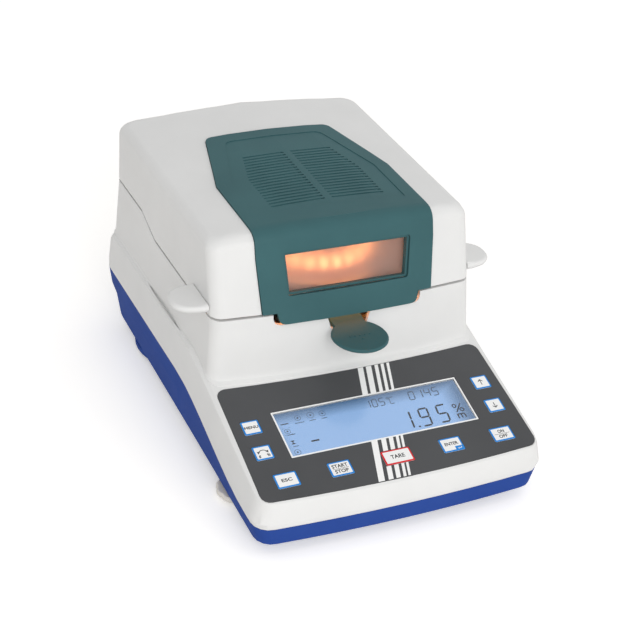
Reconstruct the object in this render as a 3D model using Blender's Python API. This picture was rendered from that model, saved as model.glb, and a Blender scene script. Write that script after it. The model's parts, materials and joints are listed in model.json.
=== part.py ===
# Moisture analyzer: a halogen drying hood that hinges over a weighing chamber.
# Metres, +Z up, front towards -Y. The origin is on the table, under the middle of the housing.
import math

import bmesh
import bpy
import numpy as np
from mathutils import Matrix

# Fits and walls
seat_gap = 0.0003
seam_gap = 0.0020
cut_overrun = 0.004
wall = 0.0025
sheet = 0.001
screw_clearance = 0.0004

# Base housing and tray
housing_length = 0.3655
housing_width = 0.2426
nose_bow = 0.0047
tail_bow = 0.0020
flat_bow = 0.0004
nose_corner_radius = 0.0145
tail_corner_radius = 0.0120
tray_clearance = 0.0095
tray_depth_front = 0.0163
tray_depth_rear = 0.0469
parting_fall_start = 0.1815
parting_fall_length = 0.1550
tray_taper_nose = 0.0030
tray_taper_side_front = 0.0052
tray_taper_side_rear = 0.0095
tray_taper_tail = 0.0125
tray_step = 0.0100
tray_step_high_share = 0.66
tray_step_low_share = 0.54
tray_edge_radius = 0.0030
skirt_tuck = 0.0016
skirt_bulge_share = 0.30
skirt_height_rear = 0.0322
rim_inset = 0.0028
rim_radius = 0.0042
rim_blend = 0.0022
keypad_slope = math.radians(15)
keypad_back_share = 0.43146

# Chamber block that rises from the deck
block_start_share = 0.32175
block_tail_inset = 0.0030
block_side_inset_foot = 0.0080
block_side_inset_top = 0.0105
block_bow = 0.0062
block_corner_radius = 0.0105
block_foot_radius = 0.0042
block_height = 0.0392
block_lean_share = 0.16
block_wall = 0.0030
seam_step_height = 0.0108
seam_step_length = 0.0328
seam_step_back = 0.1429
tub_depth = 0.0235
tub_back = 0.1600
tub_floor_thickness = 0.0030
side_groove_length = 0.0790
side_groove_width = 0.0026
side_groove_depth = 0.0090
side_groove_back = 0.0660

# Hood
hood_height_front = 0.0550
hood_height_gain = 0.0051
hood_crown = 0.0078
hood_top_radius = 0.0080
hood_corner_radius = 0.0100
hood_lean_share = 0.26
hood_side_lean_share = 0.334
hood_wall = 0.0030

# Green insert that wraps the front and the top of the hood
insert_half_width_top = 0.0750
insert_half_width_bottom = 0.0718
insert_proud = 0.0014
insert_thickness = 0.0030
insert_waist_share = 0.42466
insert_tail_share = 0.74398
insert_tail_half_width = 0.0550
insert_corner_radius = 0.0050
tongue_half_width_top = 0.0614
tongue_half_width_bottom = 0.0593
tongue_drop = 0.0090
tongue_notch_gap = 0.0015
panel_inset = 0.0125
panel_sink = 0.0005

# Louvres in the insert
louvre_count = 19
louvre_pitch_share = 0.01837
louvre_slot = 0.0019
louvre_depth = 0.0011
louvre_front_share = 0.22050
louvre_side_inset = 0.0270
louvre_rib_half = 0.0030
louvre_eye_length = 0.0026

# Window in the insert
window_half_width_top = 0.0537
window_half_width_bottom = 0.0512
window_height = 0.0340
window_foot_rise = 0.0122
window_corner_radius = 0.0022
window_frame_face = 0.0018
window_frame_depth = 0.0050
window_frame_sink = 0.0022
pane_thickness = 0.0020
pane_lap = 0.0015

# Keypad and display
foil_thickness = 0.0010
foil_side_border = 0.0038
foil_front_border = 0.0060
foil_back_border = 0.0069
foil_corner_radius = 0.0075
foil_bow = 0.0040
display_side_inset = 0.0337
display_height_share = 0.40962
display_back_share = 0.24817
display_margin = 0.0014
side_key_width = 0.0140
side_key_height_share = 0.11809
side_key_inset = 0.0145
side_key_pitch_share = 0.22603
row_key_width = 0.0179
row_key_height_share = 0.11993
wide_key_width = 0.0238
row_key_place_share = 0.17713
row_key_shares = {"key_esc": -0.801, "key_start_stop": -0.418, "key_enter": 0.408, "key_on_off": 0.802}
key_corner_radius = 0.0010
key_proud = 0.0003
key_cap_thickness = 0.0036
key_plunger_radius = 0.0026
key_travel = 0.0005
key_switch_gap = 0.0004
board_thickness = 0.0016
board_depth = 0.0138
board_margin = 0.0120
switch_size = 0.0062

# Drying chamber, on one vertical axis behind the front of the block
chamber_back = 0.0822
well_radius = 0.0605
well_flange = 0.0055
well_depth = 0.0165
deck_hole_clearance = 0.0010
shaft_hole_radius = 0.0080
shield_radius = 0.0490
draught_ring_radius = 0.0560
draught_ring_wall = 0.0040
lifter_plane_rise = 0.0100
lifter_disc_drop = 0.0042
lifter_thickness = 0.0030
lifter_ring_outer = 0.0585
lifter_ring_inner = 0.0455
lifter_neck_half_width = 0.0140
lifter_disc_radius = 0.0224
lifter_disc_reach = 0.0155
lifter_notch_half_width = 0.0185
lifter_notch_clearance = 0.0012
pan_radius = 0.0445
pan_flange = 0.0035
pan_depth = 0.0055
pan_sheet = 0.0006
support_arm_half_width = 0.0045
support_arm_thickness = 0.0016
support_arm_count = 4
support_hub_radius = 0.0100
support_shaft_radius = 0.0040
support_travel = 0.0003
support_seat_depth = 0.0065
level_radius = 0.0085
level_height = 0.0050
level_front_inset = 0.0180

# Weighing cell in the base
cell_length_share = 0.35568
cell_width = 0.0220
cell_height = 0.0250
cell_eye_radius = 0.0080
cell_eye_spacing = 0.0300
cell_end_reach = 0.0140
cell_foot_length = 0.0300
cell_foot_height = 0.0060
plate_width_share = 0.37098
plate_length_share = 0.43776
plate_thickness = 0.0060

# Heater unit under the hood
cover_thickness = 0.0012
cover_rise = 0.0016
glass_radius = 0.0570
glass_lap = 0.0030
glass_thickness = 0.0030
clamp_ring_thickness = 0.0018
clamp_ring_face = 0.0060
lamp_ring_radius = 0.0440
lamp_tube_radius = 0.0050
lamp_rise = 0.0130
lamp_holder_width = 0.0140
lamp_holder_length = 0.0120
reflector_half_width = 0.0780
reflector_front = 0.0330
reflector_length = 0.0950
reflector_lift = 0.0006
reflector_height = 0.0380
probe_radius = 0.0016
probe_length = 0.0140
probe_head_radius = 0.0040
probe_orbit = 0.0685
probe_angle = math.radians(-46)

# Lift tabs at the sides of the hood
tab_reach = 0.0255
tab_root_length = 0.0370
tab_roundness_share = 0.80
tab_section_shares = ((0.0, 2.3), (0.12, 1.2), (0.35, 0.35), (0.6, 0.0), (0.85, 0.2), (1.0, 0.9))
tab_thickness = 0.0085
tab_edge_radius = 0.0030
tab_back = 0.0310
tab_rise = 0.0006

# Hood hinges
hinge_side_inset = 0.0408
hinge_width = 0.0340
hinge_barrel_radius = 0.0028
hinge_pin_radius = 0.0015
hinge_leaf = 0.0014
hinge_leaf_height = 0.0130
hinge_knuckle_share = 0.36
hinge_pin_head = 0.0010

# Feet
foot_side_inset = 0.0193
foot_front_setback = 0.0825
foot_rear_inset = 0.0745
wheel_radius = 0.0178
wheel_thickness = 0.0048
wheel_lobes = 10
wheel_lobe_depth = 0.0011
wheel_edge_shares = ((0.94, 0.0), (1.0, 0.25), (1.0, 0.75), (0.94, 1.0))
pad_radius = 0.0110
pad_thickness = 0.0025
stud_radius = 0.0036
stud_length = 0.0150
stud_boss_radius = 0.0075
foot_lift = 0.00125
rear_boss_half_width = 0.0150
rear_boss_half_length = 0.0290
rear_boss_drop = 0.0052
rear_foot_side_inset = 0.0233
rear_pad_radius = 0.0115
rear_stem_radius = 0.0030
rear_stem_length = 0.0070

# Rear connectors and inner boards
inlet_x = -0.0560
inlet_rise = 0.0190
inlet_width = 0.0480
inlet_height = 0.0270
inlet_flange = 0.0030
inlet_flange_thickness = 0.0022
inlet_depth = 0.0240
socket_width = 0.0250
socket_height = 0.0170
socket_depth = 0.0150
socket_shift = 0.0085
inlet_pin_width = 0.0020
inlet_pin_height = 0.0040
inlet_pin_length = 0.0110
inlet_pin_spacing = 0.0070
drawer_width = 0.0110
drawer_height = 0.0200
drawer_length = 0.0180
drawer_shift = 0.0160
port_x = 0.0560
port_width = 0.0310
port_height = 0.0126
port_shell_width = 0.0170
port_shell_height = 0.0084
port_shell_length = 0.0055
port_depth = 0.0100
vent_count = 9
vent_pitch = 0.0056
vent_width = 0.0026
vent_height = 0.0260
main_board_width = 0.1500
main_board_length = 0.0660
main_board_setback = 0.0150
main_board_rise = 0.0060
main_board_chip_shares = ((0.30, 0.25, 0.12, 0.20, 2.5), (-0.25, 0.35, 0.16, 0.16, 2.0),
                          (-0.30, 0.75, 0.10, 0.30, 4.5), (0.10, 0.80, 0.20, 0.14, 3.0))
supply_width_share = 0.20610
supply_length = 0.0700
supply_clearance = 0.0030
supply_block_shares = ((-0.22, 0.25, 0.34, 0.30, 17.0), (0.20, 0.30, 0.30, 0.28, 14.0),
                       (0.00, 0.75, 0.60, 0.32, 11.0))
pillar_radius = 0.0030
pillar_inset = 0.0050

# Derived levels and places
hinge_overhang = 2 * hinge_barrel_radius + seat_gap - block_tail_inset
nose_y = -(housing_length + hinge_overhang) / 2
tail_y = nose_y + housing_length
housing_half = housing_width / 2
tray_floor_z = tray_clearance
parting_front_z = tray_floor_z + tray_depth_front
parting_rear_z = tray_floor_z + tray_depth_rear
parting_rear_y = nose_y + parting_fall_start
parting_front_y = parting_rear_y - parting_fall_length
deck_z = parting_rear_z + skirt_height_rear
keypad_back_y = nose_y + keypad_back_share * housing_length
block_nose_y = nose_y + block_start_share * housing_length
block_tail_y = tail_y - block_tail_inset
block_length = block_tail_y - block_nose_y
block_half_foot = housing_half - block_side_inset_foot
block_half_top = housing_half - block_side_inset_top
block_top_z = deck_z + block_height
seam_front_y = block_nose_y + seam_step_back
seam_rear_y = seam_front_y + seam_step_length
chamber_y = block_nose_y + chamber_back
tub_floor_z = block_top_z - tub_depth
tub_back_y = block_nose_y + tub_back
deck_plate_top = tub_floor_z + seat_gap + sheet
hood_foot_z = block_top_z + seam_gap
hood_half = block_half_top
hinge_spread = hood_half - hinge_side_inset
hood_nose_y = block_nose_y + block_lean_share * block_height
hood_tail_y = block_tail_y
hinge_y = hood_tail_y + hinge_barrel_radius + seat_gap
hinge_z = block_top_z + seam_step_height + seam_gap / 2
cover_z = hood_foot_z + cover_rise
lamp_z = cover_z + cover_thickness + seat_gap + glass_thickness + lamp_rise
lifter_z = tub_floor_z + lifter_plane_rise
lifter_top_z = lifter_z + lifter_thickness
pan_rim_z = lifter_top_z + seat_gap
pan_floor_z = pan_rim_z - pan_depth
support_top_z = pan_floor_z - seat_gap
well_floor_z = deck_plate_top + seat_gap - well_depth
foil_half_front = housing_half - rim_inset - foil_side_border
foil_half_back = foil_half_front - foil_side_border / 2
foil_front_y = nose_y + foil_front_border
foil_back_y = block_nose_y - foil_back_border
foil_length = (foil_back_y - foil_front_y) / math.cos(keypad_slope)
display_width = 2 * (foil_half_back - display_side_inset)
display_height = display_height_share * foil_length
side_key_height = side_key_height_share * foil_length
side_key_pitch = side_key_pitch_share * foil_length
row_key_height = row_key_height_share * foil_length
row_key_inset = row_key_place_share * foil_length
display_y = foil_back_y - (display_back_share * foil_length + display_height / 2) * math.cos(keypad_slope)
display_z = deck_z + (display_y - keypad_back_y) * math.tan(keypad_slope)
foot_x = housing_half - foot_side_inset
rear_foot_x = housing_half - rear_foot_side_inset
foot_front_y = nose_y + foot_front_setback
foot_rear_y = tail_y - foot_rear_inset
plate_z = tray_floor_z + wall + seat_gap
plate_width = plate_width_share * housing_width
plate_length = plate_length_share * housing_length
cell_length = cell_length_share * housing_length
supply_width = supply_width_share * housing_width
cell_z = plate_z + plate_thickness + seat_gap + cell_foot_height
insert_waist_y = block_nose_y + insert_waist_share * block_length
insert_tail_y = block_nose_y + insert_tail_share * block_length
louvre_pitch = louvre_pitch_share * block_length
louvre_front_back = louvre_front_share * block_length
corner_steps = 4
edge_steps = 4
round_steps = 28
flat_angle = math.radians(0.4)

# Levels that the shells share


def parting_z(x, y):
    # Height of the seam between tray and housing: level at the tail, low at the nose
    share = np.clip((parting_rear_y - y) / parting_fall_length, 0, 1)
    return parting_rear_z + (parting_front_z - parting_rear_z) * share * share * (3 - 2 * share)


def rim_z(x, y):
    # Height of the deck: level beside the block, then down the keypad slope through a soft bend
    fall = (y - keypad_back_y) * math.tan(keypad_slope)
    return deck_z + (fall - np.hypot(fall, rim_blend)) / 2


def seam_z(x, y):
    # Height of the block's top edge, which steps up towards the hinges
    share = np.clip((y - seam_front_y) / seam_step_length, 0, 1)
    return block_top_z + seam_step_height * share


def hood_edge_z(x, y):
    # Height of the hood's top surface: crowned across, slightly rising to the rear
    along = (y - hood_nose_y) / (hood_tail_y - hood_nose_y)
    across = 1 - (x / hood_half) ** 2
    return hood_foot_z + hood_height_front + hood_height_gain * along + hood_crown * across


base_stations = np.sort(np.concatenate([
    np.linspace(parting_front_y, parting_rear_y, 9),
    keypad_back_y + rim_blend * np.array([-1.5, 1.5])]))
seam_stations = np.sort(np.array([chamber_y, seam_front_y, tub_back_y, tub_back_y + block_wall / 2,
                                  seam_rear_y]))

# Mesh tools


def clear_scene():
    for piece in list(bpy.data.objects):
        bpy.data.objects.remove(piece, do_unlink=True)


def half_outline(half_front, half_rear, nose, tail, bow, back_bow, radius, back_radius, stations):
    # Right half of a plan outline, from the middle of the bowed nose to the middle of the tail
    quarter = np.linspace(0, math.pi / 2, corner_steps + 1)
    x_nose = np.linspace(0, half_front - radius, edge_steps, endpoint=False)
    nose_edge = np.stack([x_nose, nose + bow * (x_nose / half_front) ** 2], 1)
    nose_corner_y = nose + bow * ((half_front - radius) / half_front) ** 2
    nose_arc = np.stack([half_front - radius + radius * np.sin(quarter),
                         nose_corner_y + radius - radius * np.cos(quarter)], 1)
    tail_corner_y = tail - back_bow * ((half_rear - back_radius) / half_rear) ** 2
    tail_arc = np.stack([half_rear - back_radius + back_radius * np.cos(quarter),
                         tail_corner_y - back_radius + back_radius * np.sin(quarter)], 1)
    start, end = nose_arc[-1, 1], tail_arc[0, 1]
    order = np.arange(1, len(stations) + 1) * seat_gap
    spread = np.maximum.accumulate(np.maximum(stations, start + seat_gap) - order) + order
    y_side = np.minimum(spread, end - order[::-1])
    x_side = half_front + (half_rear - half_front) * (y_side - start) / (end - start)
    tail_steps = edge_steps if back_bow > flat_bow else 1
    x_tail = np.linspace(half_rear - back_radius, 0, tail_steps + 1)[1:]
    tail_edge = np.stack([x_tail, tail - back_bow * (x_tail / half_rear) ** 2], 1)
    return np.concatenate([nose_edge, nose_arc, np.stack([x_side, y_side], 1), tail_arc, tail_edge])


def lift(outline, height):
    # Half ring at a height, which is a number or a function of x and y
    z = height(outline[:, 0], outline[:, 1]) if callable(height) else np.full(len(outline), height)
    return np.column_stack([outline, z])


def mix(ring_a, ring_b, share):
    return ring_a + (ring_b - ring_a) * share


def lean(ring, foot_z, middle_slope, side_slope, half, nose, tail):
    # Leans the front face back, more at its sides than in its middle; fades out towards the tail
    leaned = ring.copy()
    depth = np.clip((tail - ring[:, 1]) / (tail - nose), 0, 1)
    slope = middle_slope + (side_slope - middle_slope) * np.clip(ring[:, 0] / half, 0, 1) ** 2
    leaned[:, 1] += slope * (ring[:, 2] - foot_z) * depth
    return leaned


def skin(rings, columns=1, cap_height=None):
    # Closed solid through half rings, mirrored in the mid plane; the last cap may be crowned
    graph = bmesh.new()
    loops = []
    count = len(rings[0])
    for ring in rings:
        right = [graph.verts.new(point) for point in ring]
        left = [graph.verts.new((-point[0], point[1], point[2])) for point in ring[1:-1]]
        loops.append(right + left[::-1])
    size = len(loops[0])
    for below, above in zip(loops, loops[1:]):
        for i in range(size):
            j = (i + 1) % size
            graph.faces.new((below[i], below[j], above[j], above[i]))
    for loop, ring, crowned in ((loops[0], rings[0], False), (loops[-1], rings[-1], True)):
        steps = columns if crowned else 1
        rows = [[loop[0]] * (steps + 1)]
        for i in range(1, count - 1):
            row = [loop[i]]
            for k in range(1, steps):
                x = ring[i][0] * (1 - 2 * k / steps)
                z = ring[i][2] if cap_height is None else cap_height(x, ring[i][1])
                row.append(graph.verts.new((x, ring[i][1], z)))
            row.append(loop[size - i])
            rows.append(row)
        rows.append([loop[count - 1]] * (steps + 1))
        for row, after in zip(rows, rows[1:]):
            for k in range(steps):
                corners = [row[k], row[k + 1], after[k + 1], after[k]]
                unique = list(dict.fromkeys(corners))
                if len(unique) > 2:
                    graph.faces.new(unique)
    return to_mesh(graph)


def to_mesh(graph):
    bmesh.ops.recalc_face_normals(graph, faces=graph.faces[:])
    mesh = bpy.data.meshes.new("mesh")
    graph.to_mesh(mesh)
    graph.free()
    return mesh


def loft(sections):
    # Closed solid through sections of equal point count, each a list of 3-D points in order
    graph = bmesh.new()
    loops = [[graph.verts.new(point) for point in section] for section in sections]
    size = len(loops[0])
    for below, above in zip(loops, loops[1:]):
        for i in range(size):
            j = (i + 1) % size
            graph.faces.new((below[i], below[j], above[j], above[i]))
    graph.faces.new(loops[0][::-1])
    graph.faces.new(loops[-1])
    return to_mesh(graph)


def prism(outline, low, high):
    # Outline in x and y, extruded from z = low to z = high
    return loft([[(x, y, low) for x, y in outline], [(x, y, high) for x, y in outline]])


def turned(profile, steps=round_steps):
    # Ring turned about z from a closed profile of (radius, z); points on the axis become poles
    graph = bmesh.new()
    angles = np.linspace(0, 2 * math.pi, steps, endpoint=False)
    circles = []
    for radius, z in profile:
        if radius <= 0:
            circles.append([graph.verts.new((0, 0, z))])
        else:
            circles.append([graph.verts.new((radius * math.cos(a), radius * math.sin(a), z)) for a in angles])
    pairs = list(zip(circles, circles[1:] + circles[:1]))
    for circle, following in pairs:
        if len(circle) == 1 and len(following) == 1:
            continue
        for i in range(steps):
            j = (i + 1) % steps
            corners = [circle[i % len(circle)], circle[j % len(circle)],
                       following[j % len(following)], following[i % len(following)]]
            graph.faces.new(list(dict.fromkeys(corners)))
    return to_mesh(graph)


def rounded_rectangle(width, height, radius, steps=2):
    points = []
    for k, (sx, sy) in enumerate(((1, 1), (-1, 1), (-1, -1), (1, -1))):
        for a in np.linspace(k * math.pi / 2, (k + 1) * math.pi / 2, steps + 1):
            points.append((sx * (width / 2 - radius) + radius * math.cos(a),
                           sy * (height / 2 - radius) + radius * math.sin(a)))
    return points


def circle(radius, steps=round_steps):
    return [(radius * math.cos(a), radius * math.sin(a))
            for a in np.linspace(0, 2 * math.pi, steps, endpoint=False)]


def box_mesh(low, high):
    corners = [(low[0], low[1]), (high[0], low[1]), (high[0], high[1]), (low[0], high[1])]
    return prism(corners, low[2], high[2])


def moved(mesh, matrix):
    mesh.transform(matrix)
    return mesh


def shifted(mesh, x=0, y=0, z=0):
    return moved(mesh, Matrix.Translation((x, y, z)))


def joined(meshes):
    # Several separate solids in one mesh, for one cut
    graph = bmesh.new()
    for mesh in meshes:
        graph.from_mesh(mesh)
        bpy.data.meshes.remove(mesh)
    return to_mesh(graph)


def triangulated(mesh):
    graph = bmesh.new()
    graph.from_mesh(mesh)
    bmesh.ops.triangulate(graph, faces=graph.faces[:])
    graph.to_mesh(mesh)
    graph.free()
    return mesh


def boolean(mesh, tool, operation):
    # Both solids are cut in triangles first, so that every face is flat
    triangulated(mesh)
    triangulated(tool)
    target = bpy.data.objects.new("target", mesh)
    cutter = bpy.data.objects.new("cutter", tool)
    for piece in (target, cutter):
        bpy.context.collection.objects.link(piece)
    step = target.modifiers.new("boolean", "BOOLEAN")
    step.operation = operation
    step.object = cutter
    evaluated = target.evaluated_get(bpy.context.evaluated_depsgraph_get())
    result = bpy.data.meshes.new_from_object(evaluated)
    for piece in (target, cutter):
        bpy.data.objects.remove(piece, do_unlink=True)
    bpy.data.meshes.remove(mesh)
    bpy.data.meshes.remove(tool)
    return tidied(result)


def cut(mesh, *tools):
    return boolean(mesh, joined(tools), "DIFFERENCE")


def fuse(mesh, *tools):
    for tool in tools:
        mesh = boolean(mesh, tool, "UNION")
    return mesh


def keep_inside(mesh, tool):
    return boolean(mesh, tool, "INTERSECT")


def tidied(mesh):
    graph = bmesh.new()
    graph.from_mesh(mesh)
    bmesh.ops.remove_doubles(graph, verts=graph.verts[:], dist=seat_gap / 100)
    bmesh.ops.dissolve_degenerate(graph, edges=graph.edges[:], dist=seat_gap / 100)
    graph.to_mesh(mesh)
    graph.free()
    return mesh


# Finishes


def finish(name, colour, roughness, metallic=0.0, alpha=1.0):
    material = bpy.data.materials.get(name)
    if material is None:
        material = bpy.data.materials.new(name)
        material.use_nodes = True
        shader = material.node_tree.nodes["Principled BSDF"]
        shader.inputs["Base Color"].default_value = (*colour, 1.0)
        shader.inputs["Roughness"].default_value = roughness
        shader.inputs["Metallic"].default_value = metallic
        shader.inputs["Alpha"].default_value = alpha
    return material


def white_abs():
    return finish("white_abs", (0.80, 0.80, 0.79), 0.45)


def blue_abs():
    return finish("blue_abs", (0.045, 0.090, 0.35), 0.42)


def green_abs():
    return finish("green_abs", (0.055, 0.135, 0.140), 0.40)


def foil_grey():
    return finish("foil_grey", (0.085, 0.087, 0.090), 0.50)


def display_blue():
    return finish("display_blue", (0.32, 0.50, 0.80), 0.25)


def clear_lens():
    return finish("clear_lens", (0.90, 0.95, 0.97), 0.05, 0.0, 0.35)


def steel():
    return finish("steel", (0.60, 0.60, 0.60), 0.30, 1.0)


def aluminium():
    return finish("aluminium", (0.75, 0.75, 0.76), 0.35, 1.0)


def rubber():
    return finish("rubber", (0.030, 0.030, 0.030), 0.80)


def beige_nylon():
    return finish("beige_nylon", (0.46, 0.43, 0.38), 0.55)


def black_plastic():
    return finish("black_plastic", (0.020, 0.020, 0.022), 0.50)


def board_green():
    return finish("board_green", (0.020, 0.160, 0.060), 0.50)


def ceramic():
    return finish("ceramic", (0.80, 0.78, 0.72), 0.60)


def lamp_quartz():
    return finish("lamp_quartz", (1.0, 0.62, 0.25), 0.20)


def flattened(mesh):
    # Joins the triangles of each flat face
    graph = bmesh.new()
    graph.from_mesh(mesh)
    bmesh.ops.dissolve_limit(graph, angle_limit=flat_angle, use_dissolve_boundaries=False,
                             verts=graph.verts[:], edges=graph.edges[:])
    graph.to_mesh(mesh)
    graph.free()
    return mesh


def add_piece(name, mesh, material, location=(0, 0, 0), rotation=(0, 0, 0), smooth_angle=math.radians(32)):
    mesh = flattened(tidied(mesh))
    mesh.name = name
    mesh.materials.clear()
    mesh.materials.append(material)
    mesh.shade_smooth()
    mesh.set_sharp_from_angle(angle=smooth_angle)
    piece = bpy.data.objects.new(name, mesh)
    piece.location = location
    piece.rotation_euler = rotation
    bpy.context.collection.objects.link(piece)
    return piece


def keypad_matrix(x=0, s=0, n=0):
    # Place on the sloped keypad: x across, s up the slope, n out of it, from the display's middle
    slope = Matrix.Translation((0, display_y, display_z)) @ Matrix.Rotation(keypad_slope, 4, "X")
    return slope @ Matrix.Translation((x, s, n))


def keypad_s(y):
    return (y - display_y) / math.cos(keypad_slope)


# Base shells


def base_ring(inset, nose_inset, tail_inset, height, side_inset_front=None):
    front_inset = inset if side_inset_front is None else side_inset_front
    outline = half_outline(housing_half - front_inset, housing_half - inset, nose_y + nose_inset,
                           tail_y - tail_inset, nose_bow, tail_bow, nose_corner_radius - nose_inset / 2,
                           tail_corner_radius, base_stations)
    return lift(outline, height)


def tray_rings(inset, floor_z, top_shift):
    # Rings of the tray from its floor to the seam, with a step in the tail face
    def level(share, shift=0.0):
        return lambda x, y: floor_z + share * (parting_z(x, y) + top_shift - floor_z) + shift

    def ring(share, tail_extra):
        spare = 1 - share
        side_front = skirt_tuck + inset + (tray_taper_side_front - skirt_tuck) * spare
        side_rear = skirt_tuck + inset + (tray_taper_side_rear - skirt_tuck) * spare
        nose = skirt_tuck + inset + (tray_taper_nose - skirt_tuck) * spare
        return base_ring(side_rear, nose, skirt_tuck + inset + tail_extra, level(share), side_front)

    high = tray_step_high_share
    low = tray_step_low_share
    return [ring(0, tray_taper_tail), ring(low, tray_step), ring(high, 0), ring(1, 0)]


def make_base_tray():
    rings = tray_rings(0, tray_floor_z, -seat_gap / 2)
    under = base_ring(tray_taper_side_rear + tray_edge_radius, tray_taper_nose + tray_edge_radius,
                      tray_taper_tail + skirt_tuck + tray_edge_radius, tray_floor_z,
                      tray_taper_side_front + tray_edge_radius)
    shoulder = mix(rings[0], rings[1], tray_edge_radius / tray_depth_front)
    lip = mix(under, shoulder, 0.7)
    lip[:, 2] = tray_floor_z + 0.3 * (shoulder[:, 2] - tray_floor_z)
    mesh = skin([under, lip, shoulder] + rings[1:])
    for side in (-1, 1):
        outline = [(rear_boss_half_width * px, rear_boss_half_length * py) for px, py in circle(1.0, 20)]
        low = tray_floor_z - rear_boss_drop
        boss = loft([[(x * grow, y * grow, z) for x, y in outline] for grow, z in (
            (0.90, low), (0.97, low + rear_boss_drop * 0.25), (1.0, tray_floor_z),
            (1.0, tray_floor_z + wall / 2))])
        mesh = fuse(mesh, shifted(boss, side * rear_foot_x, foot_rear_y))
    mesh = cut(mesh, skin(tray_rings(wall, tray_floor_z + wall, cut_overrun)))
    for side in (-1, 1):
        stud_boss = turned([(0, tray_floor_z + wall / 2), (stud_boss_radius, tray_floor_z + wall / 2),
                            (stud_boss_radius, wheel_top() + stud_length + wall),
                            (0, wheel_top() + stud_length + wall)], 14)
        mesh = fuse(mesh, shifted(stud_boss, side * foot_x, foot_front_y))
    for x, y, width, length in (main_board_place(), supply_place()):
        for side in (-1, 1):
            for end in (-1, 1):
                top = board_level() - seat_gap
                pillar = prism(circle(pillar_radius, 6), tray_floor_z + wall / 2, top)
                mesh = fuse(mesh, shifted(pillar, x + side * (width / 2 - pillar_inset),
                                          y + end * (length / 2 - pillar_inset)))
    holes = []
    for side in (-1, 1):
        stud_high = wheel_top() + stud_length + foot_lift + screw_clearance
        hole = turned([(0, tray_floor_z - cut_overrun),
                       (stud_radius + screw_clearance, tray_floor_z - cut_overrun),
                       (stud_radius + screw_clearance, stud_high), (0, stud_high)], 16)
        holes.append(shifted(hole, side * foot_x, foot_front_y))
        stem_low = tray_floor_z - rear_boss_drop - cut_overrun
        stem_high = tray_floor_z - rear_boss_drop + rear_stem_length
        stem = turned([(0, stem_low), (rear_stem_radius + seat_gap, stem_low),
                       (rear_stem_radius + seat_gap, stem_high), (0, stem_high)], 16)
        holes.append(shifted(stem, side * rear_foot_x, foot_rear_y))
    add_piece("base_tray", cut(mesh, *holes), blue_abs())


def wheel_top():
    return pad_thickness + seat_gap + wheel_thickness


def block_ring(side, nose_shift, tail_y_here, height, top_share=0.0):
    # Half ring of the block; top_share runs from 0 at its foot to 1 at its top edge
    half = block_half_foot + (block_half_top - block_half_foot) * top_share - side
    outline = half_outline(half, half, block_nose_y + nose_shift, tail_y_here,
                           block_bow, flat_bow, block_corner_radius, block_corner_radius, seam_stations)
    return lean(lift(outline, height), deck_z, block_lean_share, block_lean_share, half, block_nose_y,
                seam_front_y)


def housing_outer():
    low = base_ring(skirt_tuck, skirt_tuck, skirt_tuck, lambda x, y: parting_z(x, y) + seat_gap / 2)
    top = base_ring(rim_inset, rim_inset, rim_inset, lambda x, y: rim_z(x, y) - rim_radius)
    bulge = base_ring(skirt_tuck, 0, skirt_tuck, 0, 0)
    bulge[:, 2] = mix(low, top, skirt_bulge_share)[:, 2]
    fillet_a = base_ring(rim_inset + 0.29 * rim_radius, rim_inset + 0.29 * rim_radius,
                         rim_inset + 0.29 * rim_radius, lambda x, y: rim_z(x, y) - 0.29 * rim_radius)
    fillet_b = base_ring(rim_inset + rim_radius, rim_inset + rim_radius, rim_inset + rim_radius, rim_z)
    return skin([low, bulge, top, fillet_a, fillet_b])


def block_outer():
    flare = block_foot_radius
    tail = block_tail_y
    foot = block_ring(-flare / 3, -flare, tail + seat_gap, lambda x, y: rim_z(x, y) - wall / 2)
    toe = block_ring(-flare / 3, -flare, tail + seat_gap, lambda x, y: rim_z(x, y) + seat_gap)
    instep = block_ring(-flare / 8, -flare * 0.3, tail, lambda x, y: rim_z(x, y) + flare * 0.3)
    ankle = block_ring(0, 0, tail, lambda x, y: rim_z(x, y) + flare)
    top = block_ring(0, 0, tail, seam_z, 1.0)
    return skin([foot, toe, instep, ankle, top])


def keypad_outline(grow):
    # Outline of the keypad foil in x and s, its front and back edges bowed towards the front
    radius = foil_corner_radius + grow
    front = keypad_s(foil_front_y) - grow
    back = keypad_s(foil_back_y) + grow
    half_front = foil_half_front + grow
    half_back = foil_half_back + grow
    x = np.linspace(0, half_front - radius, edge_steps + 1)
    points = [(value, front + foil_bow * (value / half_front) ** 2) for value in x]
    corner_s = points[-1][1] + radius
    for a in np.linspace(0, math.pi / 2, corner_steps + 1)[1:]:
        points.append((half_front - radius + radius * math.sin(a), corner_s - radius * math.cos(a)))
    back_edge = back + foil_bow * ((half_back - radius) / half_back) ** 2
    for a in np.linspace(0, math.pi / 2, corner_steps + 1):
        points.append((half_back - radius + radius * math.cos(a), back_edge - radius + radius * math.sin(a)))
    for value in np.linspace(half_back - radius, 0, edge_steps + 1)[1:]:
        points.append((value, back + foil_bow * (value / half_back) ** 2))
    return points + [(-px, ps) for px, ps in points[-2:0:-1]]


def key_places():
    # Name to (x, s, width, height) on the keypad
    side_x = foil_half_back - side_key_inset
    row_s = keypad_s(foil_front_y) + row_key_inset
    places = {"key_menu": (-side_x, side_key_pitch / 2, side_key_width, side_key_height),
              "key_unit": (-side_x, -side_key_pitch / 2, side_key_width, side_key_height),
              "key_up": (side_x, side_key_pitch / 2, side_key_width, side_key_height),
              "key_down": (side_x, -side_key_pitch / 2, side_key_width, side_key_height),
              "key_tare": (0, row_s, wide_key_width, row_key_height)}
    for name, share in row_key_shares.items():
        places[name] = (share * foil_half_back, row_s, row_key_width, row_key_height)
    return places


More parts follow.
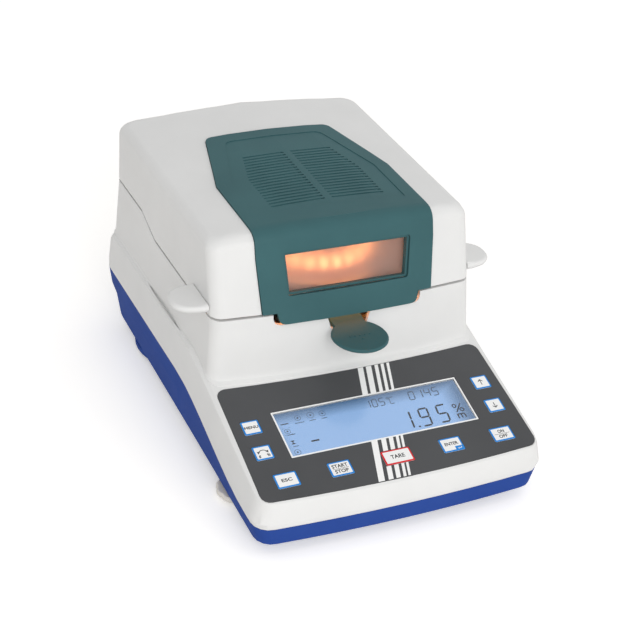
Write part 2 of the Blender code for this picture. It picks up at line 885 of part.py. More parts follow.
def key_hole_tools(low, high):
    tools = []
    for x, s, width, height in key_places().values():
        outline = rounded_rectangle(width + 2 * seat_gap, height + 2 * seat_gap, key_corner_radius + seat_gap)
        tools.append(moved(prism(outline, low, high), keypad_matrix(x, s)))
    return tools


def housing_cavity():
    skirt = base_ring(skirt_tuck + wall, skirt_tuck + wall, skirt_tuck + wall,
                      lambda x, y: parting_z(x, y) - cut_overrun)
    under_rim = base_ring(rim_inset + wall, rim_inset + wall, rim_inset + wall,
                          lambda x, y: rim_z(x, y) - rim_radius - wall)
    deck_inset = rim_inset + rim_radius + wall
    under_deck = base_ring(deck_inset, deck_inset, deck_inset,
                           lambda x, y: rim_z(x, y) - foil_thickness - seat_gap - wall)
    return skin([skirt, under_rim, under_deck])


def block_cavity_top(x, y):
    share = np.clip(2 * (y - tub_back_y) / block_wall, 0, 1)
    low = tub_floor_z - tub_floor_thickness
    return low + share * (seam_z(x, y) - wall - low)


def make_main_housing():
    mesh = fuse(housing_outer(), block_outer())
    inner_tail = block_tail_y - block_wall
    inner_foot = block_ring(block_wall, block_wall, inner_tail,
                            lambda x, y: rim_z(x, y) - foil_thickness - wall - cut_overrun)
    inner_top = block_ring(block_wall, block_wall, inner_tail, block_cavity_top, 1.0)
    mesh = cut(mesh, fuse(housing_cavity(), skin([inner_foot, inner_top])))
    tub_tail = tub_back_y - block_wall
    tub_low = block_ring(block_wall, block_wall, tub_tail, tub_floor_z, 0.6)
    tub_high = block_ring(block_wall, block_wall, tub_tail, block_top_z + seam_step_height, 1.0)
    mesh = cut(mesh, skin([tub_low, tub_high]))
    mesh = cut(mesh, tongue_notch())
    mesh = cut(mesh, lifter_notch())
    mesh = cut(mesh, moved(prism(keypad_outline(seat_gap), -foil_thickness - seat_gap, cut_overrun),
                           keypad_matrix()))
    skin_low = -foil_thickness - wall - cut_overrun
    display_hole = rounded_rectangle(display_width - 2 * display_margin, display_height - 2 * display_margin,
                                     display_margin / 2)
    tools = key_hole_tools(skin_low, cut_overrun)
    tools.append(moved(prism(display_hole, skin_low, cut_overrun), keypad_matrix()))
    tools.append(shifted(turned([(0, tub_floor_z - 2 * tub_floor_thickness),
                                 (well_radius + deck_hole_clearance, tub_floor_z - 2 * tub_floor_thickness),
                                 (well_radius + deck_hole_clearance, tub_floor_z + cut_overrun),
                                 (0, tub_floor_z + cut_overrun)], 36), 0, chamber_y))
    tools += rear_wall_tools()
    mesh = cut(mesh, *tools)
    mesh = cut(mesh, side_groove(-1), side_groove(1))
    add_piece("main_housing", mesh, white_abs())


def tongue_notch():
    half = tongue_half_width_top + tongue_notch_gap
    low = hood_foot_z - tongue_drop - tongue_notch_gap
    high = block_top_z + cut_overrun
    outline = rounded_rectangle(2 * half, 2 * (high - low), insert_corner_radius)
    points = [(x, z + high) for x, z in outline]
    front = block_nose_y - block_foot_radius
    back = block_nose_y + block_bow + block_lean_share * block_height + 2 * block_wall
    return loft([[(x, front, z) for x, z in points], [(x, back, z) for x, z in points]])


def lifter_notch():
    # Tapered notch below the tongue, for the neck of the pan lifter
    low = lifter_z - lifter_disc_drop
    high = hood_foot_z - tongue_drop
    top = lifter_notch_half_width
    foot = lifter_neck_half_width + lifter_notch_clearance
    points = [(-foot, low), (foot, low), (top, high), (-top, high)]
    front = block_nose_y - block_foot_radius
    back = block_nose_y + block_lean_share * block_height + 2 * block_wall
    return loft([[(x, y, z) for x, z in points] for y in (front, back)])


def side_groove(side):
    # Lens-shaped groove in the ledge beside the block
    middle_y = keypad_back_y + side_groove_back
    x = side * (block_half_foot + side_groove_width / 2)
    steps = np.linspace(-1, 1, 9)
    outer = [(x + side_groove_width / 2 * (1 - t * t), middle_y + t * side_groove_length / 2) for t in steps]
    inner = [(x - side_groove_width / 2 * (1 - t * t), middle_y + t * side_groove_length / 2)
             for t in steps[-2:0:-1]]
    return prism(outer + inner, deck_z - side_groove_depth / 3, deck_z + side_groove_depth)


def rear_wall_tools():
    # Cut-outs in the rear wall of the block: inlet, port and cooling slots
    low, high = block_tail_y - 2 * block_wall, block_tail_y + cut_overrun
    centre_z = deck_z + inlet_rise
    tools = [box_mesh((inlet_x - inlet_width / 2 - seat_gap, low, centre_z - inlet_height / 2 - seat_gap),
                      (inlet_x + inlet_width / 2 + seat_gap, high, centre_z + inlet_height / 2 + seat_gap)),
             box_mesh((port_x - port_shell_width / 2 - seat_gap, low,
                       centre_z - port_shell_height / 2 - seat_gap),
                      (port_x + port_shell_width / 2 + seat_gap, high,
                       centre_z + port_shell_height / 2 + seat_gap))]
    for k in range(vent_count):
        x = (k - (vent_count - 1) / 2) * vent_pitch
        tools.append(box_mesh((x - vent_width / 2, low, centre_z - vent_height / 2),
                              (x + vent_width / 2, high, centre_z + vent_height / 2)))
    return tools


# Keypad


def make_keypad():
    foil = prism(keypad_outline(0), -foil_thickness, 0)
    window = rounded_rectangle(display_width + 2 * seat_gap, display_height + 2 * seat_gap, seat_gap)
    tools = [prism(window, -foil_thickness - cut_overrun, cut_overrun)]
    for x, s, width, height in key_places().values():
        outline = rounded_rectangle(width + 2 * seat_gap, height + 2 * seat_gap, key_corner_radius + seat_gap)
        tools.append(shifted(prism(outline, -foil_thickness - cut_overrun, cut_overrun), x, s))
    place = keypad_matrix().to_translation()
    turn = (keypad_slope, 0, 0)
    add_piece("keypad_foil", cut(foil, *tools), foil_grey(), place, turn)
    lens = prism(rounded_rectangle(display_width, display_height, seat_gap), -foil_thickness, 0)
    add_piece("display_window", lens, clear_lens(), place, turn)
    module_width = display_width - 2 * display_margin - 2 * seat_gap
    module_height = display_height - 2 * display_margin - 2 * seat_gap
    top = -foil_thickness - 2 * seat_gap
    module = prism(rounded_rectangle(module_width, module_height, display_margin / 2 - seat_gap),
                   -board_depth + seat_gap, top)
    add_piece("lcd_module", module, display_blue(), place, turn)
    for name, (x, s, width, height) in key_places().items():
        make_key(name, x, s, width, height)
    make_keypad_board(place, turn)


def make_key(name, x, s, width, height):
    # Cap with a rounded plunger under it, as one loft
    cap = rounded_rectangle(width, height, key_corner_radius)
    edge = rounded_rectangle(width - 2 * key_proud, height - 2 * key_proud, key_corner_radius)
    plunger = rounded_rectangle(2 * key_plunger_radius, 2 * key_plunger_radius, key_plunger_radius * 0.9)
    foot = -board_depth + switch_height() + key_travel + key_switch_gap
    levels = [(plunger, foot), (plunger, key_proud - key_cap_thickness), (cap, key_proud - key_cap_thickness),
              (cap, 0), (edge, key_proud)]
    mesh = loft([[(px, py, level) for px, py in outline] for outline, level in levels])
    add_piece(name, mesh, white_abs(), keypad_matrix(x, s).to_translation(), (keypad_slope, 0, 0))


def switch_height():
    return board_depth / 3


def make_keypad_board(place, turn):
    front = keypad_s(foil_front_y) + board_margin / 2
    back = keypad_s(foil_back_y) - board_margin
    half = foil_half_back - board_margin / 2
    outline = [(-half, front), (half, front), (half, back), (-half, back)]
    board = prism(outline, -board_depth - board_thickness, -board_depth)
    for x, s, width, height in key_places().values():
        switch = prism([(x + px, s + py) for px, py in rounded_rectangle(switch_size, switch_size, seat_gap)],
                       -board_depth - board_thickness / 2, -board_depth + switch_height())
        board = fuse(board, switch)
    add_piece("keypad_board", board, board_green(), place, turn)


# Drying chamber


def make_chamber():
    at = (0, chamber_y, 0)
    inset = block_wall + 3 * seat_gap
    plate_tail = tub_back_y - block_wall - 3 * seat_gap
    plate_low = block_ring(inset, inset, plate_tail, tub_floor_z + seat_gap, 0.6)
    plate_top = block_ring(inset, inset, plate_tail, deck_plate_top, 0.6)
    plate = skin([plate_low, plate_top])
    hole = turned([(0, tub_floor_z), (well_radius + deck_hole_clearance, tub_floor_z),
                   (well_radius + deck_hole_clearance, deck_plate_top + cut_overrun),
                   (0, deck_plate_top + cut_overrun)], 36)
    level_hole = turned([(0, tub_floor_z), (level_radius + seat_gap, tub_floor_z),
                         (level_radius + seat_gap, deck_plate_top + cut_overrun),
                         (0, deck_plate_top + cut_overrun)], 24)
    level_x, level_y = level_place()
    plate = cut(plate, shifted(hole, 0, chamber_y), shifted(level_hole, level_x, level_y))
    add_piece("chamber_deck", plate, steel())
    rim = deck_plate_top + seat_gap
    floor = well_floor_z
    well = turned([(shaft_hole_radius, floor), (shaft_hole_radius, floor + sheet),
                   (well_radius - sheet, floor + sheet), (well_radius - sheet, rim + sheet),
                   (well_radius + well_flange, rim + sheet),
                   (well_radius + well_flange, rim), (well_radius, rim), (well_radius, floor)], 36)
    add_piece("chamber_well", well, steel(), at)
    shield_low = floor + sheet + seat_gap
    shield_lip = shield_low + 3 * sheet
    shield = turned([(shaft_hole_radius, shield_low), (shaft_hole_radius, shield_low + sheet),
                     (shield_radius - sheet, shield_low + sheet), (shield_radius - sheet, shield_lip),
                     (shield_radius, shield_lip), (shield_radius, shield_low)])
    add_piece("heat_shield", shield, steel(), at)
    ring_top = lifter_z - seat_gap
    ring_in = draught_ring_radius - draught_ring_wall
    ring = turned([(ring_in, shield_low), (ring_in, ring_top),
                   (draught_ring_radius - draught_ring_wall / 2, ring_top),
                   (draught_ring_radius - draught_ring_wall / 2, shield_low + sheet),
                   (draught_ring_radius, shield_low + sheet), (draught_ring_radius, shield_low)])
    add_piece("draught_ring", ring, aluminium(), at)
    level = turned([(0, tub_floor_z + seat_gap), (level_radius, tub_floor_z + seat_gap),
                    (level_radius, tub_floor_z + level_height * 0.8),
                    (level_radius * 0.85, tub_floor_z + level_height), (0, tub_floor_z + level_height)], 24)
    add_piece("bubble_level", level, clear_lens(), (level_x, level_y, 0))
    make_pan(at)
    make_lifter()
    make_pan_support(at)


def level_place():
    # Midway between the well's flange and the side of the block
    side = (well_radius + well_flange + block_half_top - block_wall) / 2
    return side, block_nose_y + block_lean_share * block_height + level_front_inset


def make_pan(at):
    low, rim = pan_floor_z, pan_rim_z
    profile = [(0, low), (pan_radius - 2 * pan_sheet, low), (pan_radius - pan_sheet, low + pan_sheet),
               (pan_radius, rim), (pan_radius + pan_flange, rim), (pan_radius + pan_flange, rim + pan_sheet),
               (pan_radius - pan_sheet, rim + pan_sheet), (pan_radius - 2 * pan_sheet, low + 2 * pan_sheet),
               (pan_radius - 3 * pan_sheet, low + pan_sheet), (0, low + pan_sheet)]
    add_piece("sample_pan", turned(profile, 36), aluminium(), at)


def make_lifter():
    # Ring that carries the pan, a bent neck through the notch and a round thumb disc outside
    reach = chamber_y - (block_nose_y - lifter_disc_reach)
    drop = lifter_disc_drop
    ring = prism(circle(lifter_ring_outer, 36), lifter_z, lifter_top_z)
    root = math.sqrt(lifter_ring_outer ** 2 - lifter_neck_half_width ** 2) * 0.97
    half = lifter_neck_half_width
    sections = []
    edge = lifter_thickness / 3
    for y, width, fall, thinner in ((-root, half, 0, 0), (-root - drop, half, 0, 0),
                                    (-reach + lifter_disc_radius, half * 0.94, drop, 0),
                                    (-reach, half * 0.85, drop, edge)):
        low, high = lifter_z - fall, lifter_top_z - fall - thinner
        sections.append([(-width, y, low), (width, y, low), (width, y, high), (-width, y, high)])
    disc = turned([(0, lifter_z), (lifter_disc_radius - edge, lifter_z),
                   (lifter_disc_radius, lifter_z + edge), (lifter_disc_radius, lifter_top_z - edge),
                   (lifter_disc_radius - edge, lifter_top_z),
                   (0, lifter_top_z - edge / 2)], 36)
    mesh = fuse(ring, loft(sections), shifted(disc, 0, -reach, -drop))
    mesh = cut(mesh, prism(circle(lifter_ring_inner, 36), lifter_z - cut_overrun, lifter_top_z + cut_overrun))
    add_piece("pan_lifter", mesh, green_abs(), (0, chamber_y, 0))


def support_foot_z():
    return cell_z + cell_height - support_seat_depth


def make_pan_support(at):
    low = support_top_z - support_arm_thickness
    foot = support_foot_z()
    hub = turned([(0, foot), (support_shaft_radius, foot), (support_shaft_radius, low - sheet),
                  (support_hub_radius * 0.7, low), (support_hub_radius, support_top_z),
                  (0, support_top_z)], 20)
    reach = pan_radius - 4 * pan_sheet
    for k in range(support_arm_count // 2):
        arm = prism([(-reach, -support_arm_half_width), (reach, -support_arm_half_width),
                     (reach, support_arm_half_width), (-reach, support_arm_half_width)], low, support_top_z)
        hub = fuse(hub, moved(arm, Matrix.Rotation(math.pi / 4 + k * math.pi / 2, 4, "Z")))
    add_piece("pan_support", hub, aluminium(), at)


# Weighing cell


def make_weighing_cell():
    cell_front = chamber_y - cell_end_reach
    centre_y = cell_front + cell_length / 2
    plate = box_mesh((-plate_width / 2, centre_y - plate_length / 2, plate_z),
                     (plate_width / 2, centre_y + plate_length / 2, plate_z + plate_thickness))
    add_piece("cell_plate", plate, aluminium())
    low = cell_z
    bar = box_mesh((-cell_width / 2, cell_front, low),
                   (cell_width / 2, cell_front + cell_length, low + cell_height))
    foot = box_mesh((-cell_width / 2, cell_front + cell_length - cell_foot_length, low - cell_foot_height),
                    (cell_width / 2, cell_front + cell_length, low + cell_height / 4))
    bar = fuse(bar, foot)
    outline = []
    for end, start in ((1, -90), (-1, 90)):
        for a in np.linspace(math.radians(start), math.radians(start + 180), 9):
            outline.append((centre_y + end * cell_eye_spacing / 2 + cell_eye_radius * math.cos(a),
                            low + cell_height / 2 + cell_eye_radius * math.sin(a)))
    eyes = loft([[(-cell_width, y, z) for y, z in outline], [(cell_width, y, z) for y, z in outline]])
    socket_low = support_foot_z() - support_travel - seat_gap
    socket = turned([(0, socket_low), (support_shaft_radius + screw_clearance, socket_low),
                     (support_shaft_radius + screw_clearance, low + cell_height + cut_overrun),
                     (0, low + cell_height + cut_overrun)], 20)
    add_piece("load_cell", cut(bar, eyes, shifted(socket, 0, chamber_y)), aluminium())


# Feet


def make_feet():
    wheel_low = pad_thickness + seat_gap
    for side, hand in ((-1, "left"), (1, "right")):
        at = (side * foot_x, foot_front_y, 0)
        lobes = []
        for a in np.linspace(0, 2 * math.pi, 4 * wheel_lobes, endpoint=False):
            radius = wheel_radius - wheel_lobe_depth * (1 - abs(math.cos(a * wheel_lobes / 2)))
            lobes.append((radius * math.cos(a), radius * math.sin(a)))
        wheel = loft([[(x * grow, y * grow, wheel_low + wheel_thickness * share) for x, y in lobes]
                      for grow, share in wheel_edge_shares])
        add_piece("levelling_wheel_" + hand, wheel, beige_nylon(), at)
        stud = prism(circle(stud_radius, 16), wheel_top() + seat_gap, wheel_top() + stud_length)
        add_piece("levelling_stud_" + hand, stud, steel(), at)
        pad = turned([(0, 0), (pad_radius * 0.92, 0), (pad_radius, pad_thickness * 0.3),
                      (pad_radius, pad_thickness), (0, pad_thickness)], 24)
        add_piece("foot_pad_" + hand, pad, rubber(), at)
        boss_low = tray_floor_z - rear_boss_drop
        rear = turned([(0, 0), (rear_pad_radius * 0.92, 0), (rear_pad_radius, boss_low * 0.3),
                       (rear_pad_radius, boss_low - seat_gap), (rear_stem_radius, boss_low - seat_gap),
                       (rear_stem_radius, boss_low + rear_stem_length - 2 * seat_gap),
                       (0, boss_low + rear_stem_length - 2 * seat_gap)], 24)
        add_piece("rear_foot_" + hand, rear, rubber(), (side * rear_foot_x, foot_rear_y, 0))


# Hood


def hood_ring(offset, height, pull=0.0):
    # Half ring of the hood, its outline moved out by offset and pulled in towards the top
    half = hood_half + offset - pull
    radius = hood_corner_radius + offset / 2
    outline = half_outline(half, half, hood_nose_y - offset + pull, hood_tail_y + offset - pull, block_bow,
                           flat_bow, radius, radius, seam_stations)
    ring = lift(outline, height)
    return lean(ring, hood_foot_z, hood_lean_share, hood_side_lean_share, hood_half, hood_nose_y, hood_tail_y)


def hood_solid(offset, foot):
    # Hood volume at an offset from its outer face, from a foot height up to the crowned top
    radius = hood_top_radius

    def crown(x, y):
        return hood_edge_z(x, y) + offset

    def level(drop):
        return lambda x, y: crown(x, y) - drop

    rings = [hood_ring(offset, foot)]
    for angle in np.linspace(0, math.pi / 2, 5):
        rings.append(hood_ring(offset, level(radius * (1 - math.sin(angle))), radius * (1 - math.cos(angle))))
    return skin(rings, 6, crown)


def insert_region(grow, inset=0.0, foot=None):
    # Volume of the insert: a front apron with its tongue, and a top panel that narrows to the rear
    top = insert_half_width_top + grow - inset
    bottom = insert_half_width_bottom + grow - inset
    crest = hood_foot_z + hood_height_front + 3 * hood_crown
    apron_foot = (hood_foot_z - cut_overrun if foot is None else foot)
    front = nose_y
    sill = hood_foot_z + hood_height_front * 0.75
    apron = loft([[(-bottom, y, apron_foot), (bottom, y, apron_foot), (top, y, sill), (top, y, crest),
                   (-top, y, crest), (-top, y, sill)] for y in (front, insert_waist_y - hood_height_front)])
    waist = insert_waist_y
    tail = insert_tail_y + grow - inset
    tail_half = insert_tail_half_width + grow - inset
    radius = insert_corner_radius
    slope = (top - tail_half) / (tail - waist)
    plan = [(top, insert_waist_y - 2 * hood_height_front), (top, waist)]
    for a in np.linspace(0, math.pi / 2, corner_steps + 1):
        plan.append((tail_half - radius + radius * math.cos(a) + slope * radius * (1 - math.sin(a)),
                     tail - radius + radius * math.sin(a)))
    plan = plan + [(-x, y) for x, y in plan[::-1]]
    panel = prism(plan, sill, crest + cut_overrun)
    return fuse(apron, panel)


def tongue_solid(grow):
    half_top = tongue_half_width_top + grow
    half_low = tongue_half_width_bottom + grow
    high = hood_foot_z + tongue_drop
    low = hood_foot_z - tongue_drop - grow
    radius = insert_corner_radius
    points = [(half_top, high)]
    for a in np.linspace(0, math.pi / 2, corner_steps):
        points.append((half_low - radius + radius * math.cos(a), low + radius - radius * math.sin(a)))
    points = points + [(-x, z) for x, z in points[::-1]]
    return loft([[(x, y, z) for x, z in points] for y in (nose_y, insert_waist_y - hood_height_front)])


def window_matrix(n=0):
    # Place on the front face: x across, second axis up the slope, third axis out of the face
    foot = hood_foot_z + window_foot_rise
    angle = math.atan(hood_lean_share)
    middle_z = foot + window_height / 2 * math.cos(angle)
    middle_y = hood_nose_y + hood_lean_share * (middle_z - hood_foot_z)
    return (Matrix.Translation((0, middle_y, middle_z)) @ Matrix.Rotation(math.pi / 2 - angle, 4, "X")
            @ Matrix.Translation((0, 0, n)))


def window_outline(grow):
    top = window_half_width_top + grow
    bottom = window_half_width_bottom + grow
    half = window_height / 2 + grow
    radius = max(window_corner_radius + grow, seat_gap)
    points = []
    for sx, sy, start in ((1, 1, 0), (-1, 1, 90), (-1, -1, 180), (1, -1, 270)):
        width = top if sy > 0 else bottom
        for a in np.linspace(math.radians(start), math.radians(start + 90), 4):
            points.append((sx * (width - radius) + radius * math.cos(a),
                           sy * (half - radius) + radius * math.sin(a)))
    return points


def hood_foot_edge(x, y):
    return seam_z(x, y) + seam_gap


def make_hood():
    shell = hood_solid(0, hood_foot_edge)
    shell = cut(shell, hood_solid(-hood_wall, lambda x, y: seam_z(x, y) - cut_overrun))
    bed = insert_proud - insert_thickness - seat_gap
    recess = cut(insert_region(seat_gap), hood_solid(bed, hood_foot_z - 2 * cut_overrun))
    shell = cut(shell, recess)
    window_tool = prism(window_outline(window_frame_face), -4 * hood_wall, 2 * hood_wall)
    window_cut = moved(window_tool, window_matrix())
    louvre_low = hood_foot_z + hood_height_front - hood_wall
    louvre_y = louvre_first_y() - louvre_pitch
    louvre_field = box_mesh((-insert_half_width_top + louvre_side_inset, louvre_y, louvre_low),
                            (insert_half_width_top - louvre_side_inset,
                             louvre_y + (louvre_count + 1) * louvre_pitch, louvre_low + 6 * hood_crown))
    shell = cut(shell, window_cut, louvre_field)
    add_hood_piece("hood_shell", shell, white_abs())
    insert = cut(hood_solid(insert_proud, hood_foot_z - 2 * tongue_drop),
                 hood_solid(insert_proud - insert_thickness, hood_foot_z - 3 * tongue_drop))
    region = fuse(insert_region(0, 0, hood_foot_z), tongue_solid(0))
    insert = keep_inside(insert, region)
    sunk = cut(insert_region(0, panel_inset), hood_solid(insert_proud - panel_sink, 0))
    sunk = keep_inside(sunk, box_mesh((-housing_width, insert_waist_y - hood_height_front, hood_foot_z),
                                      (housing_width, tail_y, hood_foot_z + 2 * hood_height_front)))
    insert = cut(insert, sunk)
    insert = cut(insert, moved(prism(window_outline(0), -6 * hood_wall, 4 * hood_wall), window_matrix()))
    insert = cut(insert, *louvre_tools())
    add_hood_piece("hood_insert", insert, green_abs())
    make_window()
    make_heater()
    make_tabs()


def add_hood_piece(name, mesh, material):
    # Hood pieces have their origin on the hinge axis
    return add_piece(name, shifted(mesh, 0, -hinge_y, -hinge_z), material, (0, hinge_y, hinge_z))


def louvre_first_y():
    return block_nose_y + louvre_front_back + louvre_pitch


def insert_half_at(y):
    share = min(max((y - insert_waist_y) / (insert_tail_y - insert_waist_y), 0), 1)
    return insert_half_width_top + (insert_tail_half_width - insert_half_width_top) * share


def louvre_tools():
    # Each louvre is a shallow groove with a through eye at its right end
    tools = []
    top = insert_proud
    through = insert_thickness + 2 * seat_gap
    for k in range(louvre_count):
        y = louvre_first_y() + k * louvre_pitch
        reach = insert_half_at(y) - louvre_side_inset
        for left, right in ((-reach, -louvre_rib_half), (louvre_rib_half, reach)):
            z_left = hood_edge_z(left, y) + top
            z_right = hood_edge_z(right, y) + top
            eye = right - louvre_eye_length
            z_eye = hood_edge_z(eye, y) + top
            profile = [(left, z_left - louvre_depth), (eye, z_eye - louvre_depth), (eye, z_eye - through),
                       (right, z_right - through), (right, z_right + cut_overrun),
                       (left, z_left + cut_overrun)]
            tools.append(loft([[(x, y - louvre_slot / 2, z) for x, z in profile],
                               [(x, y + louvre_slot / 2, z) for x, z in profile]]))
    return tools


def make_window():
    front = -window_frame_sink
    back = front - window_frame_depth
    frame = prism(window_outline(-seat_gap), back, front)
    face = -seat_gap - window_frame_face
    frame = cut(frame, prism(window_outline(face), back - cut_overrun, front + cut_overrun))
    add_hood_piece("window_frame", moved(frame, window_matrix()), green_abs())
    pane_front = back - seat_gap
    pane = prism(window_outline(face + pane_lap), pane_front - pane_thickness, pane_front)
    add_hood_piece("window_pane", moved(pane, window_matrix()), clear_lens())


def make_heater():
    inset = hood_wall + 2 * seat_gap
    low = hood_ring(-inset, lambda x, y: hood_foot_edge(x, y) + cover_rise)
    high = hood_ring(-inset, lambda x, y: hood_foot_edge(x, y) + cover_rise + cover_thickness)
    cover = skin([low, high])
    hole = turned([(0, cover_z - cut_overrun), (glass_radius - glass_lap, cover_z - cut_overrun),
                   (glass_radius - glass_lap, cover_z + cut_overrun), (0, cover_z + cut_overrun)], 36)
    probe_x = probe_orbit * math.cos(probe_angle)
    probe_y = chamber_y + probe_orbit * math.sin(probe_angle)
    probe_hole = turned([(0, cover_z - cut_overrun), (probe_radius + seat_gap, cover_z - cut_overrun),
                         (probe_radius + seat_gap, cover_z + cut_overrun), (0, cover_z + cut_overrun)], 16)
    cover = cut(cover, shifted(hole, 0, chamber_y), shifted(probe_hole, probe_x, probe_y))
    add_hood_piece("hood_inner_cover", cover, steel())
    glass_low = cover_z + cover_thickness + seat_gap
    glass = prism(circle(glass_radius, 36), glass_low, glass_low + glass_thickness)
    add_hood_piece("lamp_glass", shifted(glass, 0, chamber_y), clear_lens())
    ring_low = glass_low + glass_thickness + seat_gap
    inner = glass_radius - clamp_ring_face / 2
    outer = glass_radius + clamp_ring_face / 2
    clamp = turned([(inner, ring_low), (outer - clamp_ring_face / 3, ring_low),
                    (outer - clamp_ring_face / 3, glass_low), (outer, glass_low),
                    (outer, ring_low + clamp_ring_thickness), (inner, ring_low + clamp_ring_thickness)], 36)
    add_hood_piece("glass_clamp_ring", shifted(clamp, 0, chamber_y), steel())
    tube = [(lamp_ring_radius + lamp_tube_radius * math.cos(a), lamp_z + lamp_tube_radius * math.sin(a))
            for a in np.linspace(0, 2 * math.pi, 8, endpoint=False)]
    add_hood_piece("halogen_lamp", shifted(turned(tube, 28), 0, chamber_y), lamp_quartz())
    make_lamp_holders(glass_low)
    make_reflector(glass_low)
    tip = cover_z - probe_length
    head = cover_z + cover_thickness + seat_gap
    probe = turned([(0, tip), (probe_radius, tip + probe_radius), (probe_radius, head),
                    (probe_head_radius, head),
                    (probe_head_radius, head + 2 * probe_radius), (0, head + 2 * probe_radius)], 16)
    add_hood_piece("temperature_probe", shifted(probe, probe_x, probe_y), steel())


def make_lamp_holders(glass_low):
    # Ceramic saddles that stand on the cover outside the clamp ring and hold the lamp's ends
    outer = glass_radius + clamp_ring_face / 2 + seat_gap
    for side, hand in ((-1, "left"), (1, "right")):
        reach = outer + lamp_holder_width
        inner = lamp_ring_radius + lamp_tube_radius / 2
        top = lamp_z + lamp_tube_radius + 2 * seat_gap
        shelf = lamp_z - lamp_tube_radius - 2 * sheet
        profile = [(outer, glass_low), (reach, glass_low), (reach, top), (inner, top), (inner, shelf),
                   (outer, shelf)]
        half = lamp_holder_length / 2
        mesh = loft([[(side * x, chamber_y - half, z) for x, z in profile],
                     [(side * x, chamber_y + half, z) for x, z in profile]])
        saddle = [(lamp_ring_radius + (lamp_tube_radius + seat_gap) * math.cos(a),
                   lamp_z + (lamp_tube_radius + seat_gap) * math.sin(a))
                  for a in np.linspace(0, 2 * math.pi, 8, endpoint=False)]
        mesh = cut(mesh, shifted(turned(saddle, 72), 0, chamber_y))
        add_hood_piece("lamp_holder_" + hand, mesh, ceramic())


def make_reflector(glass_low):
    # Bent sheet: an arch over the lamp, closed at the rear, open to the window and downwards
    def arch(grow, front, back):
        half = reflector_half_width + grow
        height = reflector_height + grow
        foot = glass_low + reflector_lift
        points = [(half, foot)]
        for a in np.linspace(0, math.pi, 17):
            bulge = abs(math.cos(a)) ** 0.6 * math.copysign(1, math.cos(a))
            points.append((half * bulge, foot + height * (0.35 + 0.65 * math.sin(a) ** 0.7)))
        points.append((-half, foot))
        return loft([[(x, y, z) for x, z in points] for y in (front, back)])

    front = chamber_y - reflector_front
    back = front + reflector_length
    inside = shifted(arch(-sheet, front - cut_overrun, back - sheet), 0, 0, -seat_gap / 3)
    mesh = cut(arch(0, front, back), inside)
    add_hood_piece("reflector", mesh, steel())


def make_tabs():
    # Rounded flaps at both sides, to lift the hood by; the underside rises towards the tip
    middle_y = hood_nose_y + tab_back
    low = hood_foot_z + tab_rise
    for side, hand in ((-1, "left"), (1, "right")):
        root = hood_half + seat_gap
        sections = []
        for share, pull_share in tab_section_shares:
            pull = pull_share * tab_edge_radius
            outline = []
            for a in np.linspace(-math.pi / 2, math.pi / 2, 15):
                across = abs(math.cos(a)) ** tab_roundness_share * (tab_reach - pull)
                bulge = math.copysign(abs(math.sin(a)) ** tab_roundness_share, a)
                along = bulge * (tab_root_length / 2 - pull)
                outline.append((root + across, middle_y + along))
            sections.append([(side * x, y, low + share * tab_thickness) for x, y in outline])
        add_hood_piece("lift_tab_" + hand, loft(sections), white_abs())


# Hinges


def make_hinges():
    knuckle = hinge_width * hinge_knuckle_share
    bore = hinge_pin_radius + seat_gap
    for side, hand in ((-1, "left"), (1, "right")):
        middle = side * hinge_spread
        low = middle - hinge_width / 2
        high = middle + hinge_width / 2
        upper = hinge_leaf_mesh(True, low, high)
        lower = hinge_leaf_mesh(False, low, high)
        hole = bore_tool(bore, low - cut_overrun, high + cut_overrun)
        centre_gap = box_mesh((middle - knuckle / 2, -hinge_barrel_radius * 1.3, -hinge_barrel_radius * 1.3),
                              (middle + knuckle / 2, hinge_barrel_radius * 1.3, hinge_barrel_radius * 1.3))
        lower = cut(lower, hole)
        lower = cut(lower, centre_gap)
        hole = bore_tool(bore, low - cut_overrun, high + cut_overrun)
        outer_gaps = []
        for a, b in ((low - cut_overrun, middle - knuckle / 2 + seat_gap),
                     (middle + knuckle / 2 - seat_gap, high + cut_overrun)):
            outer_gaps.append(box_mesh((a, -hinge_barrel_radius * 1.3, -hinge_barrel_radius * 1.3),
                                       (b, hinge_barrel_radius * 1.3, hinge_barrel_radius * 1.3)))
        upper = cut(upper, hole)
        upper = cut(upper, *outer_gaps)
        add_piece("hood_hinge_leaf_" + hand, upper, steel(), (0, hinge_y, hinge_z))
        add_piece("hinge_bracket_" + hand, lower, steel(), (0, hinge_y, hinge_z))
        head_radius = hinge_barrel_radius * 0.9
        pin = loft([[(x, radius * px, radius * py) for px, py in circle(1.0, 12)] for x, radius in (
            (low - seat_gap - hinge_pin_head, head_radius), (low - seat_gap, head_radius),
            (low - seat_gap, hinge_pin_radius), (high + seat_gap, hinge_pin_radius))])
        add_piece("hinge_pin_" + hand, pin, steel(), (0, hinge_y, hinge_z))


def bore_tool(radius, low, high):
    return loft([[(x, radius * px, radius * py) for px, py in circle(1.0, 12)] for x in (low, high)])


def hinge_leaf_mesh(up, low, high):
    direction = 1 if up else -1
    barrel = loft([[(x, hinge_barrel_radius * px, hinge_barrel_radius * py) for px, py in circle(1.0, 16)]
                   for x in (low, high)])
    face = -hinge_barrel_radius * math.cos(math.pi / 16)
    top = direction * hinge_leaf_height
    root = direction * hinge_barrel_radius / 3
    z_low, z_high = min(root, top), max(root, top)
    leaf = box_mesh((low, face, z_low), (high, face + hinge_leaf, z_high))
    return fuse(barrel, leaf)


# Rear connectors and boards


